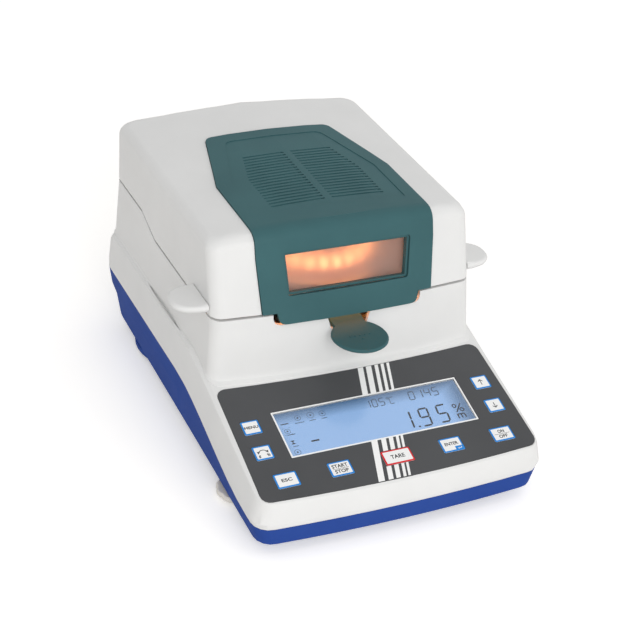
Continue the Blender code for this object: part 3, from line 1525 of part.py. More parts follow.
def make_connectors():
    face = block_tail_y
    centre_z = deck_z + inlet_rise
    body = box_mesh((inlet_x - inlet_width / 2, face - inlet_depth, centre_z - inlet_height / 2),
                    (inlet_x + inlet_width / 2, face + seat_gap, centre_z + inlet_height / 2))
    front = face + seat_gap + inlet_flange_thickness
    flange_x = inlet_width / 2 + inlet_flange
    flange_z = inlet_height / 2 + inlet_flange
    flange = box_mesh((inlet_x - flange_x, face + seat_gap, centre_z - flange_z),
                      (inlet_x + flange_x, front, centre_z + flange_z))
    socket_x = inlet_x - socket_shift
    socket = box_mesh((socket_x - socket_width / 2, front - socket_depth, centre_z - socket_height / 2),
                      (socket_x + socket_width / 2, front + cut_overrun, centre_z + socket_height / 2))
    bay_x = inlet_x + drawer_shift
    bay_half_x = drawer_width / 2 + seat_gap
    bay_half_z = drawer_height / 2 + seat_gap
    bay = box_mesh((bay_x - bay_half_x, front - drawer_length - seat_gap, centre_z - bay_half_z),
                   (bay_x + bay_half_x, front + cut_overrun, centre_z + bay_half_z))
    inlet = cut(fuse(body, flange), socket, bay)
    for k, rise in ((-1, 0), (0, 1), (1, 0)):
        x = socket_x + k * inlet_pin_spacing
        z = centre_z + rise * inlet_pin_height - inlet_pin_height / 2
        pin = box_mesh((x - inlet_pin_width / 2, front - socket_depth - sheet, z - inlet_pin_height / 2),
                       (x + inlet_pin_width / 2, front - socket_depth + inlet_pin_length,
                        z + inlet_pin_height / 2))
        inlet = fuse(inlet, pin)
    add_piece("mains_inlet", inlet, black_plastic())
    drawer = box_mesh((-drawer_width / 2, -drawer_length, -drawer_height / 2),
                      (drawer_width / 2, sheet, drawer_height / 2))
    grip = box_mesh((-drawer_width / 4, -sheet, drawer_height / 2 - 3 * sheet),
                    (drawer_width / 4, 2 * sheet, drawer_height / 2 - sheet))
    add_piece("fuse_drawer", fuse(drawer, grip), black_plastic(), (bay_x, front, centre_z))
    plate = box_mesh((port_x - port_width / 2, face + seat_gap, centre_z - port_height / 2),
                     (port_x + port_width / 2, face + seat_gap + sheet, centre_z + port_height / 2))
    half_x, half_z = port_shell_width / 2, port_shell_height / 2
    shell_outline = [(-half_x, half_z), (half_x, half_z), (half_x - sheet, -half_z),
                     (sheet - half_x, -half_z)]
    shell = loft([[(port_x + x, y, centre_z + z) for x, z in shell_outline]
                  for y in (face - port_depth, face + seat_gap + port_shell_length)])
    add_piece("serial_port", fuse(plate, shell), steel())


def board_level():
    return tray_floor_z + wall + main_board_rise


def main_board_place():
    # Middle of the main board and its two sizes, under the keypad
    return 0, nose_y + main_board_setback + main_board_length / 2, main_board_width, main_board_length


def supply_place():
    # Middle of the power supply and its two sizes, beside the cell plate and near the inlet
    x = -(plate_width / 2 + supply_clearance + supply_width / 2)
    return x, block_tail_y - block_wall - inlet_depth - supply_length / 2, supply_width, supply_length


def make_boards():
    for name, place, shares in (("main_board", main_board_place(), main_board_chip_shares),
                                ("power_supply", supply_place(), supply_block_shares)):
        x, y, width, length = place
        low = board_level()
        board = box_mesh((-width / 2, -length / 2, low), (width / 2, length / 2, low + board_thickness))
        board = shifted(board, x, y)
        for x_share, y_share, w_share, l_share, rise_share in shares:
            chip_x = x + x_share * width
            chip_y = y + (y_share - 0.5) * length
            half_x, half_y = w_share * width / 2, l_share * length / 2
            chip = box_mesh((-half_x, -half_y, low + board_thickness / 2),
                            (half_x, half_y, low + board_thickness * (1 + rise_share)))
            board = fuse(board, shifted(chip, chip_x, chip_y))
        add_piece(name, board, board_green())


clear_scene()
make_base_tray()
make_main_housing()
make_keypad()
make_chamber()
make_weighing_cell()
make_feet()
make_hood()
make_hinges()
make_connectors()
make_boards()
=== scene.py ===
# Looks of the moisture analyzer: mouldings, printed keypad, lit display and the glowing lamp chamber
import json
import math

import bmesh
import bpy
import numpy as np
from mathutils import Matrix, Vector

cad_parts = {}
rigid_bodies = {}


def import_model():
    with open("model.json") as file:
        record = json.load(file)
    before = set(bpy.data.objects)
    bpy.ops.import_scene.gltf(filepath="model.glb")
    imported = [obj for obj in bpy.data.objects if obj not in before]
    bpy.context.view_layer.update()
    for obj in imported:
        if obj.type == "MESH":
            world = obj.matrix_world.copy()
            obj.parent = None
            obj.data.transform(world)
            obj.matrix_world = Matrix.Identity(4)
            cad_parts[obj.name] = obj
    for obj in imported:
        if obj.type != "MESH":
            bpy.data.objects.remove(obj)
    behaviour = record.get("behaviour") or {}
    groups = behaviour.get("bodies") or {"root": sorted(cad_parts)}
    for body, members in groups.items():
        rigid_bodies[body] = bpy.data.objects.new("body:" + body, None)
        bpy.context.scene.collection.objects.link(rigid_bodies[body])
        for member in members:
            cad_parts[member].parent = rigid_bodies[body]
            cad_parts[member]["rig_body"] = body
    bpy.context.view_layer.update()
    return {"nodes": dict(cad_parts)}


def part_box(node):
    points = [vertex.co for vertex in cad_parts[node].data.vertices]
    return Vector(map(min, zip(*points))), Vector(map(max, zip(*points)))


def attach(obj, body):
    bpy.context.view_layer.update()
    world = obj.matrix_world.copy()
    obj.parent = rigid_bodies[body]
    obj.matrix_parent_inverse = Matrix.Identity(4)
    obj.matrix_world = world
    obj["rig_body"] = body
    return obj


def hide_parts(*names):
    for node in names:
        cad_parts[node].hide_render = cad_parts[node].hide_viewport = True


mm = 0.001
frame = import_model()
nodes = frame["nodes"]
boxCorners = np.array([(-1, -1), (1, -1), (1, 1), (-1, 1)])  # half sizes scale them to any rectangle
print("frame loaded with", len(nodes), "nodes")


# Camera, worked out from the photograph
photoCamera = {
    "place": (-0.4758, -0.9354, 0.7195),
    "turnDegrees": (58.833, -4.312, -24.206),
    "lensMm": 87.2,
    "sensorMm": 36.0,
    "clipStart": 0.05,
}


def addCamera(values):
    # Place in metres, turn as angles about x, y and z
    camera = bpy.data.objects.new("photoCamera", bpy.data.cameras.new("photoCamera"))
    bpy.context.scene.collection.objects.link(camera)
    camera.location = values["place"]
    camera.rotation_euler = [math.radians(a) for a in values["turnDegrees"]]
    camera.data.lens = values["lensMm"]
    camera.data.sensor_width = values["sensorMm"]
    camera.data.clip_start = values["clipStart"]
    bpy.context.scene.camera = camera


addCamera(photoCamera)


# Materials
noiseLow, noiseHigh = 0.3, 0.7  # nearly all of Blender's noise lies between these


def linear(hexColour):
    # sRGB hex to linear: the low end is a straight line, the rest a power of 2.4
    srgb = np.array([int(hexColour[i:i + 2], 16) for i in (1, 3, 5)]) / 255
    rgb = np.where(srgb <= 0.04045, srgb / 12.92, ((srgb + 0.055) / 1.055) ** 2.4)
    return (*rgb.tolist(), 1.0)


def setSockets(tree, node, sockets):
    # A socket takes a value, or a link from the output that feeds it
    for name, value in sockets.items():
        if isinstance(value, bpy.types.NodeSocket):
            tree.links.new(value, node.inputs[name])
        else:
            node.inputs[name].default_value = value


def addNode(tree, kind, sockets=None, **settings):
    # One node: settings are its own options, sockets its inputs
    node = tree.nodes.new(kind)
    for name, value in settings.items():
        setattr(node, name, value)
    setSockets(tree, node, sockets or {})
    return node


def newMaterial(name):
    # Material with an empty Principled shader; returns it with its tree, shader and object coordinates
    material = bpy.data.materials.new(name)
    material.use_nodes = True
    tree = material.node_tree
    shader = tree.nodes["Principled BSDF"]
    place = addNode(tree, "ShaderNodeTexCoord").outputs["Object"]
    return material, tree, shader, place


def noiseAt(tree, place, sizeMm, detail=2.0, stretch=(1, 1, 1)):
    # Noise whose lumps are sizeMm across; stretch lengthens them along an axis
    scaled = addNode(tree, "ShaderNodeMapping", {"Vector": place, "Scale": [1 / s for s in stretch]})
    noise = addNode(tree, "ShaderNodeTexNoise", {"Vector": scaled.outputs["Vector"],
                                                 "Scale": 1 / (sizeMm * mm), "Detail": detail})
    return noise.outputs["Fac"]


def shades(tree, factor, darkHex, lightHex, low=noiseLow, high=noiseHigh):
    # Dark at low, light at high, an even run between them
    ramp = addNode(tree, "ShaderNodeValToRGB", {"Fac": factor})
    for element, position, colour in zip(ramp.color_ramp.elements, (low, high), (darkHex, lightHex)):
        element.position = position
        element.color = linear(colour)
    return ramp.outputs["Color"]


def levels(tree, value, low, high, toLow, toHigh):
    # From low..high to toLow..toHigh in proportion, held at either end
    return addNode(tree, "ShaderNodeMapRange", {"Value": value, "From Min": low, "From Max": high,
                                                "To Min": toLow, "To Max": toHigh}).outputs["Result"]


def relief(tree, height, depthMm, strength):
    # Height of 0 to 1 felt as a surface depthMm deep
    return addNode(tree, "ShaderNodeBump", {"Height": height, "Distance": depthMm * mm,
                                            "Strength": strength}).outputs["Normal"]


bodyKinds = {
    # Moulded ABS from a spark-eroded tool: an even, softly lit face with a fine grain.
    # The real grain of 0.1 mm is too fine to show, so it is drawn near 1 mm.
    "mouldedAbs": {"grainMm": 0.9, "detail": 2, "toneMm": 45, "toneDetail": 3,
                   "glossSpread": (0.04, 0.05), "relief": (0.03, 0.35), "ior": 1.53},
    # Polyester overlay printed from behind: a satin film with a very fine emboss
    "polyesterFilm": {"grainMm": 0.7, "detail": 2, "toneMm": 60, "toneDetail": 2,
                      "glossSpread": (0.05, 0.05), "relief": (0.015, 0.3), "ior": 1.57},
    # Cured screen ink: one opaque colour with a faint mottle from the mesh
    "screenInk": {"grainMm": 0.8, "detail": 2, "glossSpread": (0.05, 0.05)},
    # Brushed stainless sheet: fine parallel scratches that draw the highlights out across them.
    # Real scratches are 0.05 mm wide, drawn at 0.5 mm so that they show.
    "brushedSteel": {"grainMm": 0.5, "detail": 3, "stretch": (60, 1, 1), "glossSpread": (0.06, 0.08),
                     "relief": (0.02, 0.3), "metallic": 1.0},
    # Milled, stamped or plated metal: an even satin with small tone changes
    "satinMetal": {"grainMm": 1.0, "detail": 3, "glossSpread": (0.05, 0.07), "relief": (0.02, 0.2),
                   "metallic": 1.0},
    # Rubber, polyamide and ceramic: matt bodies with a grain that shows
    "mattBody": {"grainMm": 0.8, "detail": 3, "glossSpread": (0.06, 0.06), "relief": (0.05, 0.4)},
}


def solidBody(name, kindName, darkHex, lightHex, roughness, **changes):
    # Fine noise sets the gloss round its mean, the relief and, where a kind has no wider clouds, the tone
    kind = {**bodyKinds[kindName], **changes}
    material, tree, shader, place = newMaterial(name)
    grain = noiseAt(tree, place, kind["grainMm"], kind["detail"], kind.get("stretch", (1, 1, 1)))
    tone = noiseAt(tree, place, kind["toneMm"], kind["toneDetail"]) if "toneMm" in kind else grain
    smoother, rougher = kind["glossSpread"]
    setSockets(tree, shader, {
        "Base Color": shades(tree, tone, darkHex, lightHex),
        "Roughness": levels(tree, grain, noiseLow, noiseHigh, roughness - smoother, roughness + rougher),
        "Metallic": kind.get("metallic", 0.0),
        "IOR": kind.get("ior", 1.5),
        "Specular IOR Level": kind.get("sheen", 0.5),
    })
    if "relief" in kind:
        setSockets(tree, shader, {"Normal": relief(tree, grain, *kind["relief"])})
    return material


# Sheets: how wide the uneven places of their polish are, and how much rougher than the rest
polish = {"lumpMm": 12, "spread": 0.03}


def clearSheet(name, tintHex, roughness, ior, clear=1.0, sheen=0.5):
    # Flat glass or acrylic with a faint unevenness in its polish; what isn't clear is a milky haze
    material, tree, shader, place = newMaterial(name)
    haze = noiseAt(tree, place, polish["lumpMm"])
    setSockets(tree, shader, {
        "Base Color": linear(tintHex),
        "Roughness": levels(tree, haze, noiseLow, noiseHigh, roughness, roughness + polish["spread"]),
        "Transmission Weight": clear,
        "IOR": ior,
        "Specular IOR Level": sheen,
    })
    return material


# Board: tracks of share trackShare in every pitch
board = {"pitchMm": 5, "trackShare": 0.06, "trackHex": "#2c8a4d", "maskHexes": ("#11602f", "#0f5a2c")}


def boardLaminate(values):
    # Solder mask over copper: green gloss with slightly raised, brighter tracks
    material, tree, shader, place = newMaterial("greenSolderMask")
    first, second = (linear(colour) for colour in values["maskHexes"])
    tracks = addNode(tree, "ShaderNodeTexBrick", {
        "Vector": place, "Scale": 1 / (values["pitchMm"] * mm), "Mortar Size": values["trackShare"],
        "Color1": first, "Color2": second, "Mortar": linear(values["trackHex"])})
    setSockets(tree, shader, {
        "Base Color": tracks.outputs["Color"],
        "Normal": relief(tree, tracks.outputs["Fac"], 0.05, 0.4),
        "Roughness": 0.38,
        "IOR": 1.5,
    })
    return material


whiteAbs = solidBody("mouldedWhiteAbs", "mouldedAbs", "#e3e3e2", "#e7e7e6", 0.5, sheen=0.4)
blueAbs = solidBody("mouldedBlueAbs", "mouldedAbs", "#2d4a95", "#314f9c", 0.6, sheen=0.03)
greenAbs = solidBody("mouldedGreenAbs", "mouldedAbs", "#3e6266", "#42686c", 0.42, sheen=0.07)
foilFilm = solidBody("polyesterFoil", "polyesterFilm", "#4f5052", "#545557", 0.45, sheen=0.1)
keyWhite = solidBody("whiteKeyFilm", "screenInk", "#f6f6f5", "#fafaf9", 0.45)
whiteInk = solidBody("whiteScreenInk", "screenInk", "#f8f8f7", "#fcfcfb", 0.5)
blueInk = solidBody("blueScreenInk", "screenInk", "#0a7fd2", "#108ae0", 0.5)
redInk = solidBody("redScreenInk", "screenInk", "#d8101c", "#e31824", 0.5)
blackInk = solidBody("blackScreenInk", "screenInk", "#2b2c2e", "#343537", 0.5)
# Inks under the lens have no gloss of their own, which would grey them
segmentInk = solidBody("darkDisplaySegments", "screenInk", "#0c1218", "#141b22", 0.4, sheen=0.0)
faintSegmentInk = solidBody("paleDisplaySegments", "screenInk", "#2c3d52", "#35475e", 0.4, sheen=0.0)
iconInk = solidBody("displayIconInk", "screenInk", "#26364a", "#2f4157", 0.4, sheen=0.0)
lensAcrylic = clearSheet("matteAcrylicLens", "#fbfcfd", 0.16, 1.49, sheen=0.05)
quartzPane = clearSheet("etchedQuartzPane", "#f3d3c6", 0.46, 1.46, clear=0.82)
vialAcrylic = clearSheet("levelVialAcrylic", "#cfe8b0", 0.02, 1.49)
chamberSteel = solidBody("brushedChamberSteel", "brushedSteel", "#a8a8a6", "#c8c8c6", 0.30)
reflectorSteel = solidBody("brushedReflectorSteel", "brushedSteel", "#c3b3aa", "#dccdc4", 0.26)
hingeSteel = solidBody("zincPlatedSteel", "satinMetal", "#a9abab", "#c2c4c4", 0.34)
panAluminium = solidBody("stampedPanAluminium", "satinMetal", "#c9cacb", "#dadbdc", 0.32, grainMm=2.0)
cellAluminium = solidBody("milledAluminium", "satinMetal", "#b9babb", "#cbcccd", 0.40)
padRubber = solidBody("footRubber", "mattBody", "#1b1b1c", "#262627", 0.78, ior=1.52)
wheelNylon = solidBody("wheelNylon", "mattBody", "#e6e1d8", "#f0ebe2", 0.50, ior=1.53)
inletPolyamide = solidBody("blackPolyamide", "mattBody", "#161617", "#202022", 0.48, ior=1.53)
lampSteatite = solidBody("lampSteatite", "mattBody", "#d8d2c4", "#e4dfd2", 0.62, ior=1.60)
print("materials made")


# Plane of the keypad, read from the frame's own solids
keypadSlope = math.radians(15)
foilThickMm = 1.0


def pointsOf(mesh):
    # Every vertex as a row of x, y and z
    flat = np.empty(len(mesh.vertices) * 3, np.float32)
    mesh.vertices.foreach_get("co", flat)
    return flat.reshape(-1, 3).astype(float)


class Plane:
    # Flat working plane: across, up and out of it, from a middle point
    def __init__(self, middle, across, up):
        self.middle = np.array(middle)
        self.across = np.array(across)
        self.up = np.array(up)
        self.out = np.cross(self.across, self.up)

    def at(self, x, s, n):
        # middle + x across + s up + n out, for arrays of any one shape
        x, s, n = np.broadcast_arrays(x, s, n)
        return self.middle + x[..., None] * self.across + s[..., None] * self.up + n[..., None] * self.out

    def read(self, node):
        # Lowest and highest x, s and n of a node's points
        points = pointsOf(nodes[node].data) - self.middle
        flat = points @ np.stack([self.across, self.up, self.out], 1)
        return flat.min(0), flat.max(0)


def keypadPlane():
    # From the middle of the display window, half its thickness out to its face
    low, high = (np.array(c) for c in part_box("display_window"))
    up = np.array([0, math.cos(keypadSlope), math.sin(keypadSlope)])
    out = np.cross((1, 0, 0), up)
    return Plane((low + high) / 2 + out * foilThickMm * mm / 2, (1, 0, 0), up)


keypad = keypadPlane()


# Mesh tools
meshing = {
    "weldMm": 0.001,
    "sharpDegrees": 35,
    "solidWeldMm": 0.002,
    "solidSharpDegrees": 33,
    "solidFlatDegrees": 0.2,
    "edgeSegments": 2,
}


def gridFaces(rows, columns, wrapRows=False, wrapColumns=False):
    # Quads between neighbours of a rows x columns grid, with either way closed on itself
    r = np.arange(rows if wrapRows else rows - 1)[:, None]
    c = np.arange(columns if wrapColumns else columns - 1)[None, :]
    after = (r + 1) % rows * columns
    here = r * columns
    beside = (c + 1) % columns
    return np.stack([here + c, here + beside, after + beside, after + c], -1).reshape(-1, 4)


def newPiece(name, mesh, material, sharpDegrees):
    # Object at the origin, smooth but for the edges that turn by more than sharpDegrees
    mesh.shade_smooth()
    mesh.set_sharp_from_angle(angle=math.radians(sharpDegrees))
    mesh.materials.append(material)
    piece = bpy.data.objects.new(name, mesh)
    bpy.context.scene.collection.objects.link(piece)
    return piece


def addPiece(name, points, faces, material, node):
    # New mesh in the frame's own coordinates, on the body of the node
    mesh = bpy.data.meshes.new(name)
    mesh.from_pydata(points.reshape(-1, 3).tolist(), [], faces)
    graph = bmesh.new()
    graph.from_mesh(mesh)
    bmesh.ops.remove_doubles(graph, verts=graph.verts[:], dist=meshing["weldMm"] * mm)
    bmesh.ops.recalc_face_normals(graph, faces=graph.faces[:])
    graph.to_mesh(mesh)
    graph.free()
    piece = newPiece(name, mesh, material, meshing["sharpDegrees"])
    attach(piece, nodes[node]["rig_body"])


def carriedOver(node, name, material, roundMm, merge):
    # The node's own solid with its edges rounded and its curves shaded smooth; merge joins its flat facets
    graph = bmesh.new()
    graph.from_mesh(nodes[node].data)
    bmesh.ops.remove_doubles(graph, verts=graph.verts[:], dist=meshing["solidWeldMm"] * mm)
    if merge:
        bmesh.ops.dissolve_limit(graph, angle_limit=math.radians(meshing["solidFlatDegrees"]),
                                 use_dissolve_boundaries=False, verts=graph.verts[:], edges=graph.edges[:])
    mesh = bpy.data.meshes.new(name)
    graph.to_mesh(mesh)
    graph.free()
    piece = newPiece(name, mesh, material, meshing["solidSharpDegrees"])
    if roundMm:
        edge = piece.modifiers.new("edge", "BEVEL")
        edge.width = roundMm * mm
        edge.segments = meshing["edgeSegments"]
        edge.limit_method = "ANGLE"
        edge.angle_limit = math.radians(meshing["solidSharpDegrees"])
    flats = piece.modifiers.new("flats", "WEIGHTED_NORMAL")
    flats.keep_sharp = True
    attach(piece, nodes[node]["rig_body"])
    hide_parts(node)


def roundedOutline(width, height, radius, steps=5):
    # Rounded rectangle: four corner centres, each with a quarter circle round it
    quarter = np.linspace(0, math.pi / 2, steps)
    turn = (np.arange(4) * math.pi / 2)[:, None] + quarter
    quadrant = np.array([(1, 1), (-1, 1), (-1, -1), (1, -1)])[:, None, :]
    corner = quadrant * (width / 2 - radius, height / 2 - radius)
    return (corner + radius * np.stack([np.cos(turn), np.sin(turn)], -1)).reshape(-1, 2)


def archOutline(first, second, turn):
    # Along one ellipse and back along another; each is given by its radii across and up
    back = turn[::-1]
    across = np.concatenate([first[0] * np.cos(turn), second[0] * np.cos(back)])
    up = np.concatenate([first[1] * np.sin(turn), second[1] * np.sin(back)])
    return np.stack([across, up], 1)


def printedBand(name, corners, middle, material, node):
    # Section carried round: each corner is an outline of equal count with its own rise off the keypad
    points = np.stack([keypad.at(*(outline + middle).T, rise) for outline, rise in corners], 1)
    addPiece(name, points, gridFaces(len(points), len(corners), True, True).tolist(), material, node)


def printedRing(name, outer, inner, low, high, material, node):
    # Flat band between two outlines
    printedBand(name, [(inner, low), (outer, low), (outer, high), (inner, high)], (0, 0), material, node)


def printedPatches(name, outlines, low, high, material, node):
    # Flat patches, one for each outline of k points: bottom and top copies joined by their sides
    outlines = np.asarray(outlines)
    count, size = outlines.shape[:2]
    rise = np.array([low, high])[None, :, None]
    points = keypad.at(outlines[:, None, :, 0], outlines[:, None, :, 1], rise)
    first = np.arange(count)[:, None] * 2 * size
    ring = np.arange(size)
    after = (ring + 1) % size
    upper = first + size
    sides = np.stack([first + ring, first + after, upper + after, upper + ring], -1).reshape(-1, 4)
    faces = sides.tolist() + (first + ring[::-1]).tolist() + (upper + ring).tolist()
    addPiece(name, points, faces, material, node)


# Printed stripes: their ends on two lines of the keypad, in millimetres (x low, x high)
stripes = {
    "slant": 0.278,
    "backEnds": ((5.1, 9.8), (12.2, 16.9), (19.8, 22.8), (25.2, 27.9), (30.3, 32.6)),
    "frontEnds": ((-13.7, -8.6), (-5.4, -1.4), (1.0, 4.6), (7.0, 9.4), (11.0, 13.0)),
    "backEndsAtMm": 46.5,
    "frontEndsAtMm": -20.8,
    "backMarginMm": 3.6,
    "frontMarginMm": 0.4,
    "footMm": 0.01,
    "topMm": 0.06,
    "keyGapMm": 0.5,
    "keyReachMm": 1.0,
}


def addStripes(values):
    # Each stripe is a slanted band: its x ends shift by the slant for every millimetre up the slope.
    # Those that would cross the tare key stop short of it and go on behind it.
    keyLow, keyHigh = keypad.read("key_tare")
    foilLow, foilHigh = keypad.read("keypad_foil")
    windowLow, windowHigh = keypad.read("display_window")
    backEdge = foilHigh[1] - values["backMarginMm"] * mm
    frontEdge = foilLow[1] + values["frontMarginMm"] * mm
    gap = values["keyGapMm"] * mm
    keyLeft, keyRight = keyLow[0] / mm - values["keyReachMm"], keyHigh[0] / mm
    bands = []
    for ends, at, low, high in ((values["backEnds"], values["backEndsAtMm"], windowHigh[1], backEdge),
                                (values["frontEnds"], values["frontEndsAtMm"], frontEdge, windowLow[1])):
        shift = values["slant"] * (keyLow[1] / mm - at)
        for left, right in ends:
            crossing = left + shift < keyRight and right + shift > keyLeft
            spans = [(low, high)]
            if ends is values["frontEnds"] and crossing:
                spans = [(low, keyLow[1] - gap), (keyHigh[1] + gap, high)]
            for start, end in spans:
                s = np.array([start, start, end, end])
                x = np.array([left, right, right, left]) * mm + values["slant"] * (s - at * mm)
                bands.append(np.stack([x, s], 1))
    printedPatches("keypadStripes", bands, values["footMm"] * mm, values["topMm"] * mm, whiteInk,
                   "keypad_foil")


# Keys: a coloured border and a dark legend on each white cap
keyPrint = {
    "borderMm": 1.15,
    "cornerMm": 1.0,
    "heightMm": 0.05,
    "strikeMm": 0.07,
    "ruleShare": 0.36,
    "ruleHalfMm": 0.14,
    "ruleFootShare": 0.2,
    "wordLiftShare": 0.75,
    "rowShare": 0.1872,
    # Each word with its width and height as shares of its key, and its row
    "words": {"key_menu": [("MENU", 0.78, 0.19, 0)], "key_esc": [("ESC", 0.46, 0.21, 0)],
              "key_start_stop": [("START", 0.70, 0.23, 1), ("STOP", 0.60, 0.23, -1)],
              "key_tare": [("TARE", 0.48, 0.26, 0)], "key_enter": [("ENTER", 0.62, 0.21, 0.3)],
              "key_on_off": [("ON", 0.30, 0.22, 1), ("OFF", 0.40, 0.22, -1)]},
}


def addWord(name, text, middle, wide, tall, lift, material, node):
    # Text made a thin mesh slab, stretched to wide x tall on the keypad and centred on a point.
    # It is struck four times, a little apart, as bold type.
    curve = bpy.data.curves.new(name, "FONT")
    curve.body = text
    curve.size = tall
    curve.extrude = keyPrint["heightMm"] * mm / 2
    curve.resolution_u = 3
    source = bpy.data.objects.new(name, curve)
    mesh = bpy.data.meshes.new_from_object(source)
    bpy.data.objects.remove(source)
    flat = pointsOf(mesh)
    low, high = flat.min(0), flat.max(0)
    x, s = ((flat - (low + high) / 2) / (high - low))[:, :2].T
    strikes = boxCorners[:, :, None] * keyPrint["strikeMm"] * mm
    points = keypad.at(x * wide + middle[0] + strikes[:, 0], s * tall + middle[1] + strikes[:, 1],
                       flat[:, 2] + lift)
    loops = np.empty(len(mesh.loops), np.int32)
    mesh.loops.foreach_get("vertex_index", loops)
    starts = np.empty(len(mesh.polygons), np.int32)
    mesh.polygons.foreach_get("loop_start", starts)
    glyphFaces = np.split(loops, starts[1:])
    faces = [(face + k * len(flat)).tolist() for k in range(len(strikes)) for face in glyphFaces]
    bpy.data.meshes.remove(mesh)
    addPiece(name, points, faces, material, node)


def keyFace(node):
    # Middle, size and top of a key on the keypad
    low, high = keypad.read(node)
    return ((low + high) / 2)[:2], (high - low)[:2], high[2]


def addKeyPrint(values):
    # The border wraps the cap's chamfer: from its inner line up and over the rim and down to the foil.
    # A key with two words has a rule between them.
    thick = values["heightMm"] * mm
    border = values["borderMm"] * mm
    corner = values["cornerMm"] * mm
    for node in sorted(n for n in nodes if n.startswith("key_")):
        middle, size, top = keyFace(node)
        foot = roundedOutline(*(size + 2 * thick), corner)
        rim = roundedOutline(*(size - 2 * top + 2 * thick), corner)
        inner = roundedOutline(*(size - 2 * border), corner / 2)
        section = [(inner, top - thick), (foot, thick), (rim, top + thick), (inner, top + thick)]
        printedBand(node + "_border", section, middle, redInk if node == "key_tare" else blueInk, node)
        words = values["words"].get(node, [])
        for k, (word, wide, tall, row) in enumerate(words):
            at = middle + (0, row * values["rowShare"] * size[1])
            addWord("%s_legend_%d" % (node, k + 1), word, at, wide * size[0], tall * size[1],
                    top + values["wordLiftShare"] * thick, blackInk, node)
        if len(words) == 2:
            rule = middle + boxCorners * (values["ruleShare"] * size[0], values["ruleHalfMm"] * mm)
            ruleFoot = top + values["ruleFootShare"] * thick
            printedPatches(node + "_rule", [rule], ruleFoot, top + thick, blackInk, node)


# Signs on the arrow keys and the unit key, in millimetres from the middle of the key
keySigns = {
    "footMm": 0.01,
    "topMm": 0.05,
    "shaft": ((-0.32, -2.7), (0.32, -2.7), (0.32, 2.2), (-0.32, 2.2)),
    "barb": ((0.0, 2.9), (0.0, 2.0), (1.9, 0.35), (2.1, 1.1)),
    "arcDegrees": (35, 145),
    "arcRadii": (3.6, 4.2),
    "arcDrop": 1.6,
    "arcSteps": 13,
    "arcHead": ((3.9, -0.9), (2.2, 0.9), (4.5, 1.6)),
    # Each unit with its place and its width and height
    "units": (("key_unit_gram", "g", (-3.6, -3.2), (1.5, 2.2)),
              ("key_unit_percent", "%", (3.5, -2.8), (2.4, 2.1))),
    "unitLiftMm": 0.04,
}


def addKeySigns(values):
    # Arrow up or down: a shaft and a head of two slanted bars, one the mirror of the other.
    # Unit key: an arc with a head at either end, over the two units it changes between.
    def stamp(name, node, outlines):
        middle, _, top = keyFace(node)
        foot, head = top + np.array([values["footMm"], values["topMm"]]) * mm
        printedPatches(name, outlines * mm + middle, foot, head, blackInk, node)

    barb = np.array(values["barb"])
    arrow = np.stack([values["shaft"], barb, barb[::-1] * (-1, 1)])
    for node, way in (("key_up", 1), ("key_down", -1)):
        stamp(node + "_arrow", node, arrow * (1, way))
    inner, outer = values["arcRadii"]
    turn = np.linspace(*np.radians(values["arcDegrees"]), values["arcSteps"])
    arc = archOutline((inner, inner), (outer, outer), turn) - (0, values["arcDrop"])
    stamp("key_unit_arc", "key_unit", arc[None])
    head = np.array(values["arcHead"])
    stamp("key_unit_heads", "key_unit", np.stack([head, head[::-1] * (-1, 1)]))
    middle, _, top = keyFace("key_unit")
    lift = top + values["unitLiftMm"] * mm
    for name, text, at, (wide, tall) in values["units"]:
        addWord(name, text, middle + np.array(at) * mm, wide * mm, tall * mm, lift, blackInk, "key_unit")


# Return mark of the enter key, in millimetres: the block's middle from the key's lower right corner,
# the arrow's outlines from the block's middle
returnMark = {
    "insetMm": 0.3,
    "middleMm": (-3.4, 2.0),
    "blockMm": (7.2, 3.8),
    "cornerMm": 0.5,
    "cornerSteps": 4,
    "blockRisesMm": (0.02, 0.06),
    "arrowRisesMm": (0.06, 0.09),
    "bar": ((-1.0, -0.55), (1.6, -0.55), (1.6, -0.1), (-1.0, -0.1)),
    "riser": ((1.2, -0.1), (1.6, -0.1), (1.6, 1.1), (1.2, 1.1)),
    "head": ((-2.0, -0.33), (-0.8, -1.2), (-0.8, 0.55), (-1.2, -0.2)),
}


def addReturnMark(values):
    # Small blue block in the corner of the enter key, with a white return arrow on it
    low, high = keypad.read("key_enter")
    inset = values["insetMm"] * mm
    middle = np.array([high[0] - inset, low[1] + inset]) + np.array(values["middleMm"]) * mm
    wide, tall = np.array(values["blockMm"]) * mm
    block = roundedOutline(wide, tall, values["cornerMm"] * mm, values["cornerSteps"]) + middle
    printedPatches("key_enter_block", [block], *(high[2] + np.array(values["blockRisesMm"]) * mm), blueInk,
                   "key_enter")
    arrow = np.stack([values["bar"], values["riser"], values["head"]]) * mm + middle
    printedPatches("key_enter_return", arrow, *(high[2] + np.array(values["arrowRisesMm"]) * mm), whiteInk,
                   "key_enter")


# Grip dots on the thumb disc of the pan lifter
gripDots = {
    "acrossMm": (-8.2, -4.1, 0.0, 4.1, 8.2, 0.0),
    "forwardMm": (0.0, 0.0, 0.0, 0.0, 0.0, 5.2),
    "radiusMm": 0.8,
    "heightMm": 0.35,
    "rootMm": 0.2,
    "rings": 6,
    "sides": 16,
    "discReachMm": 22.4,
}


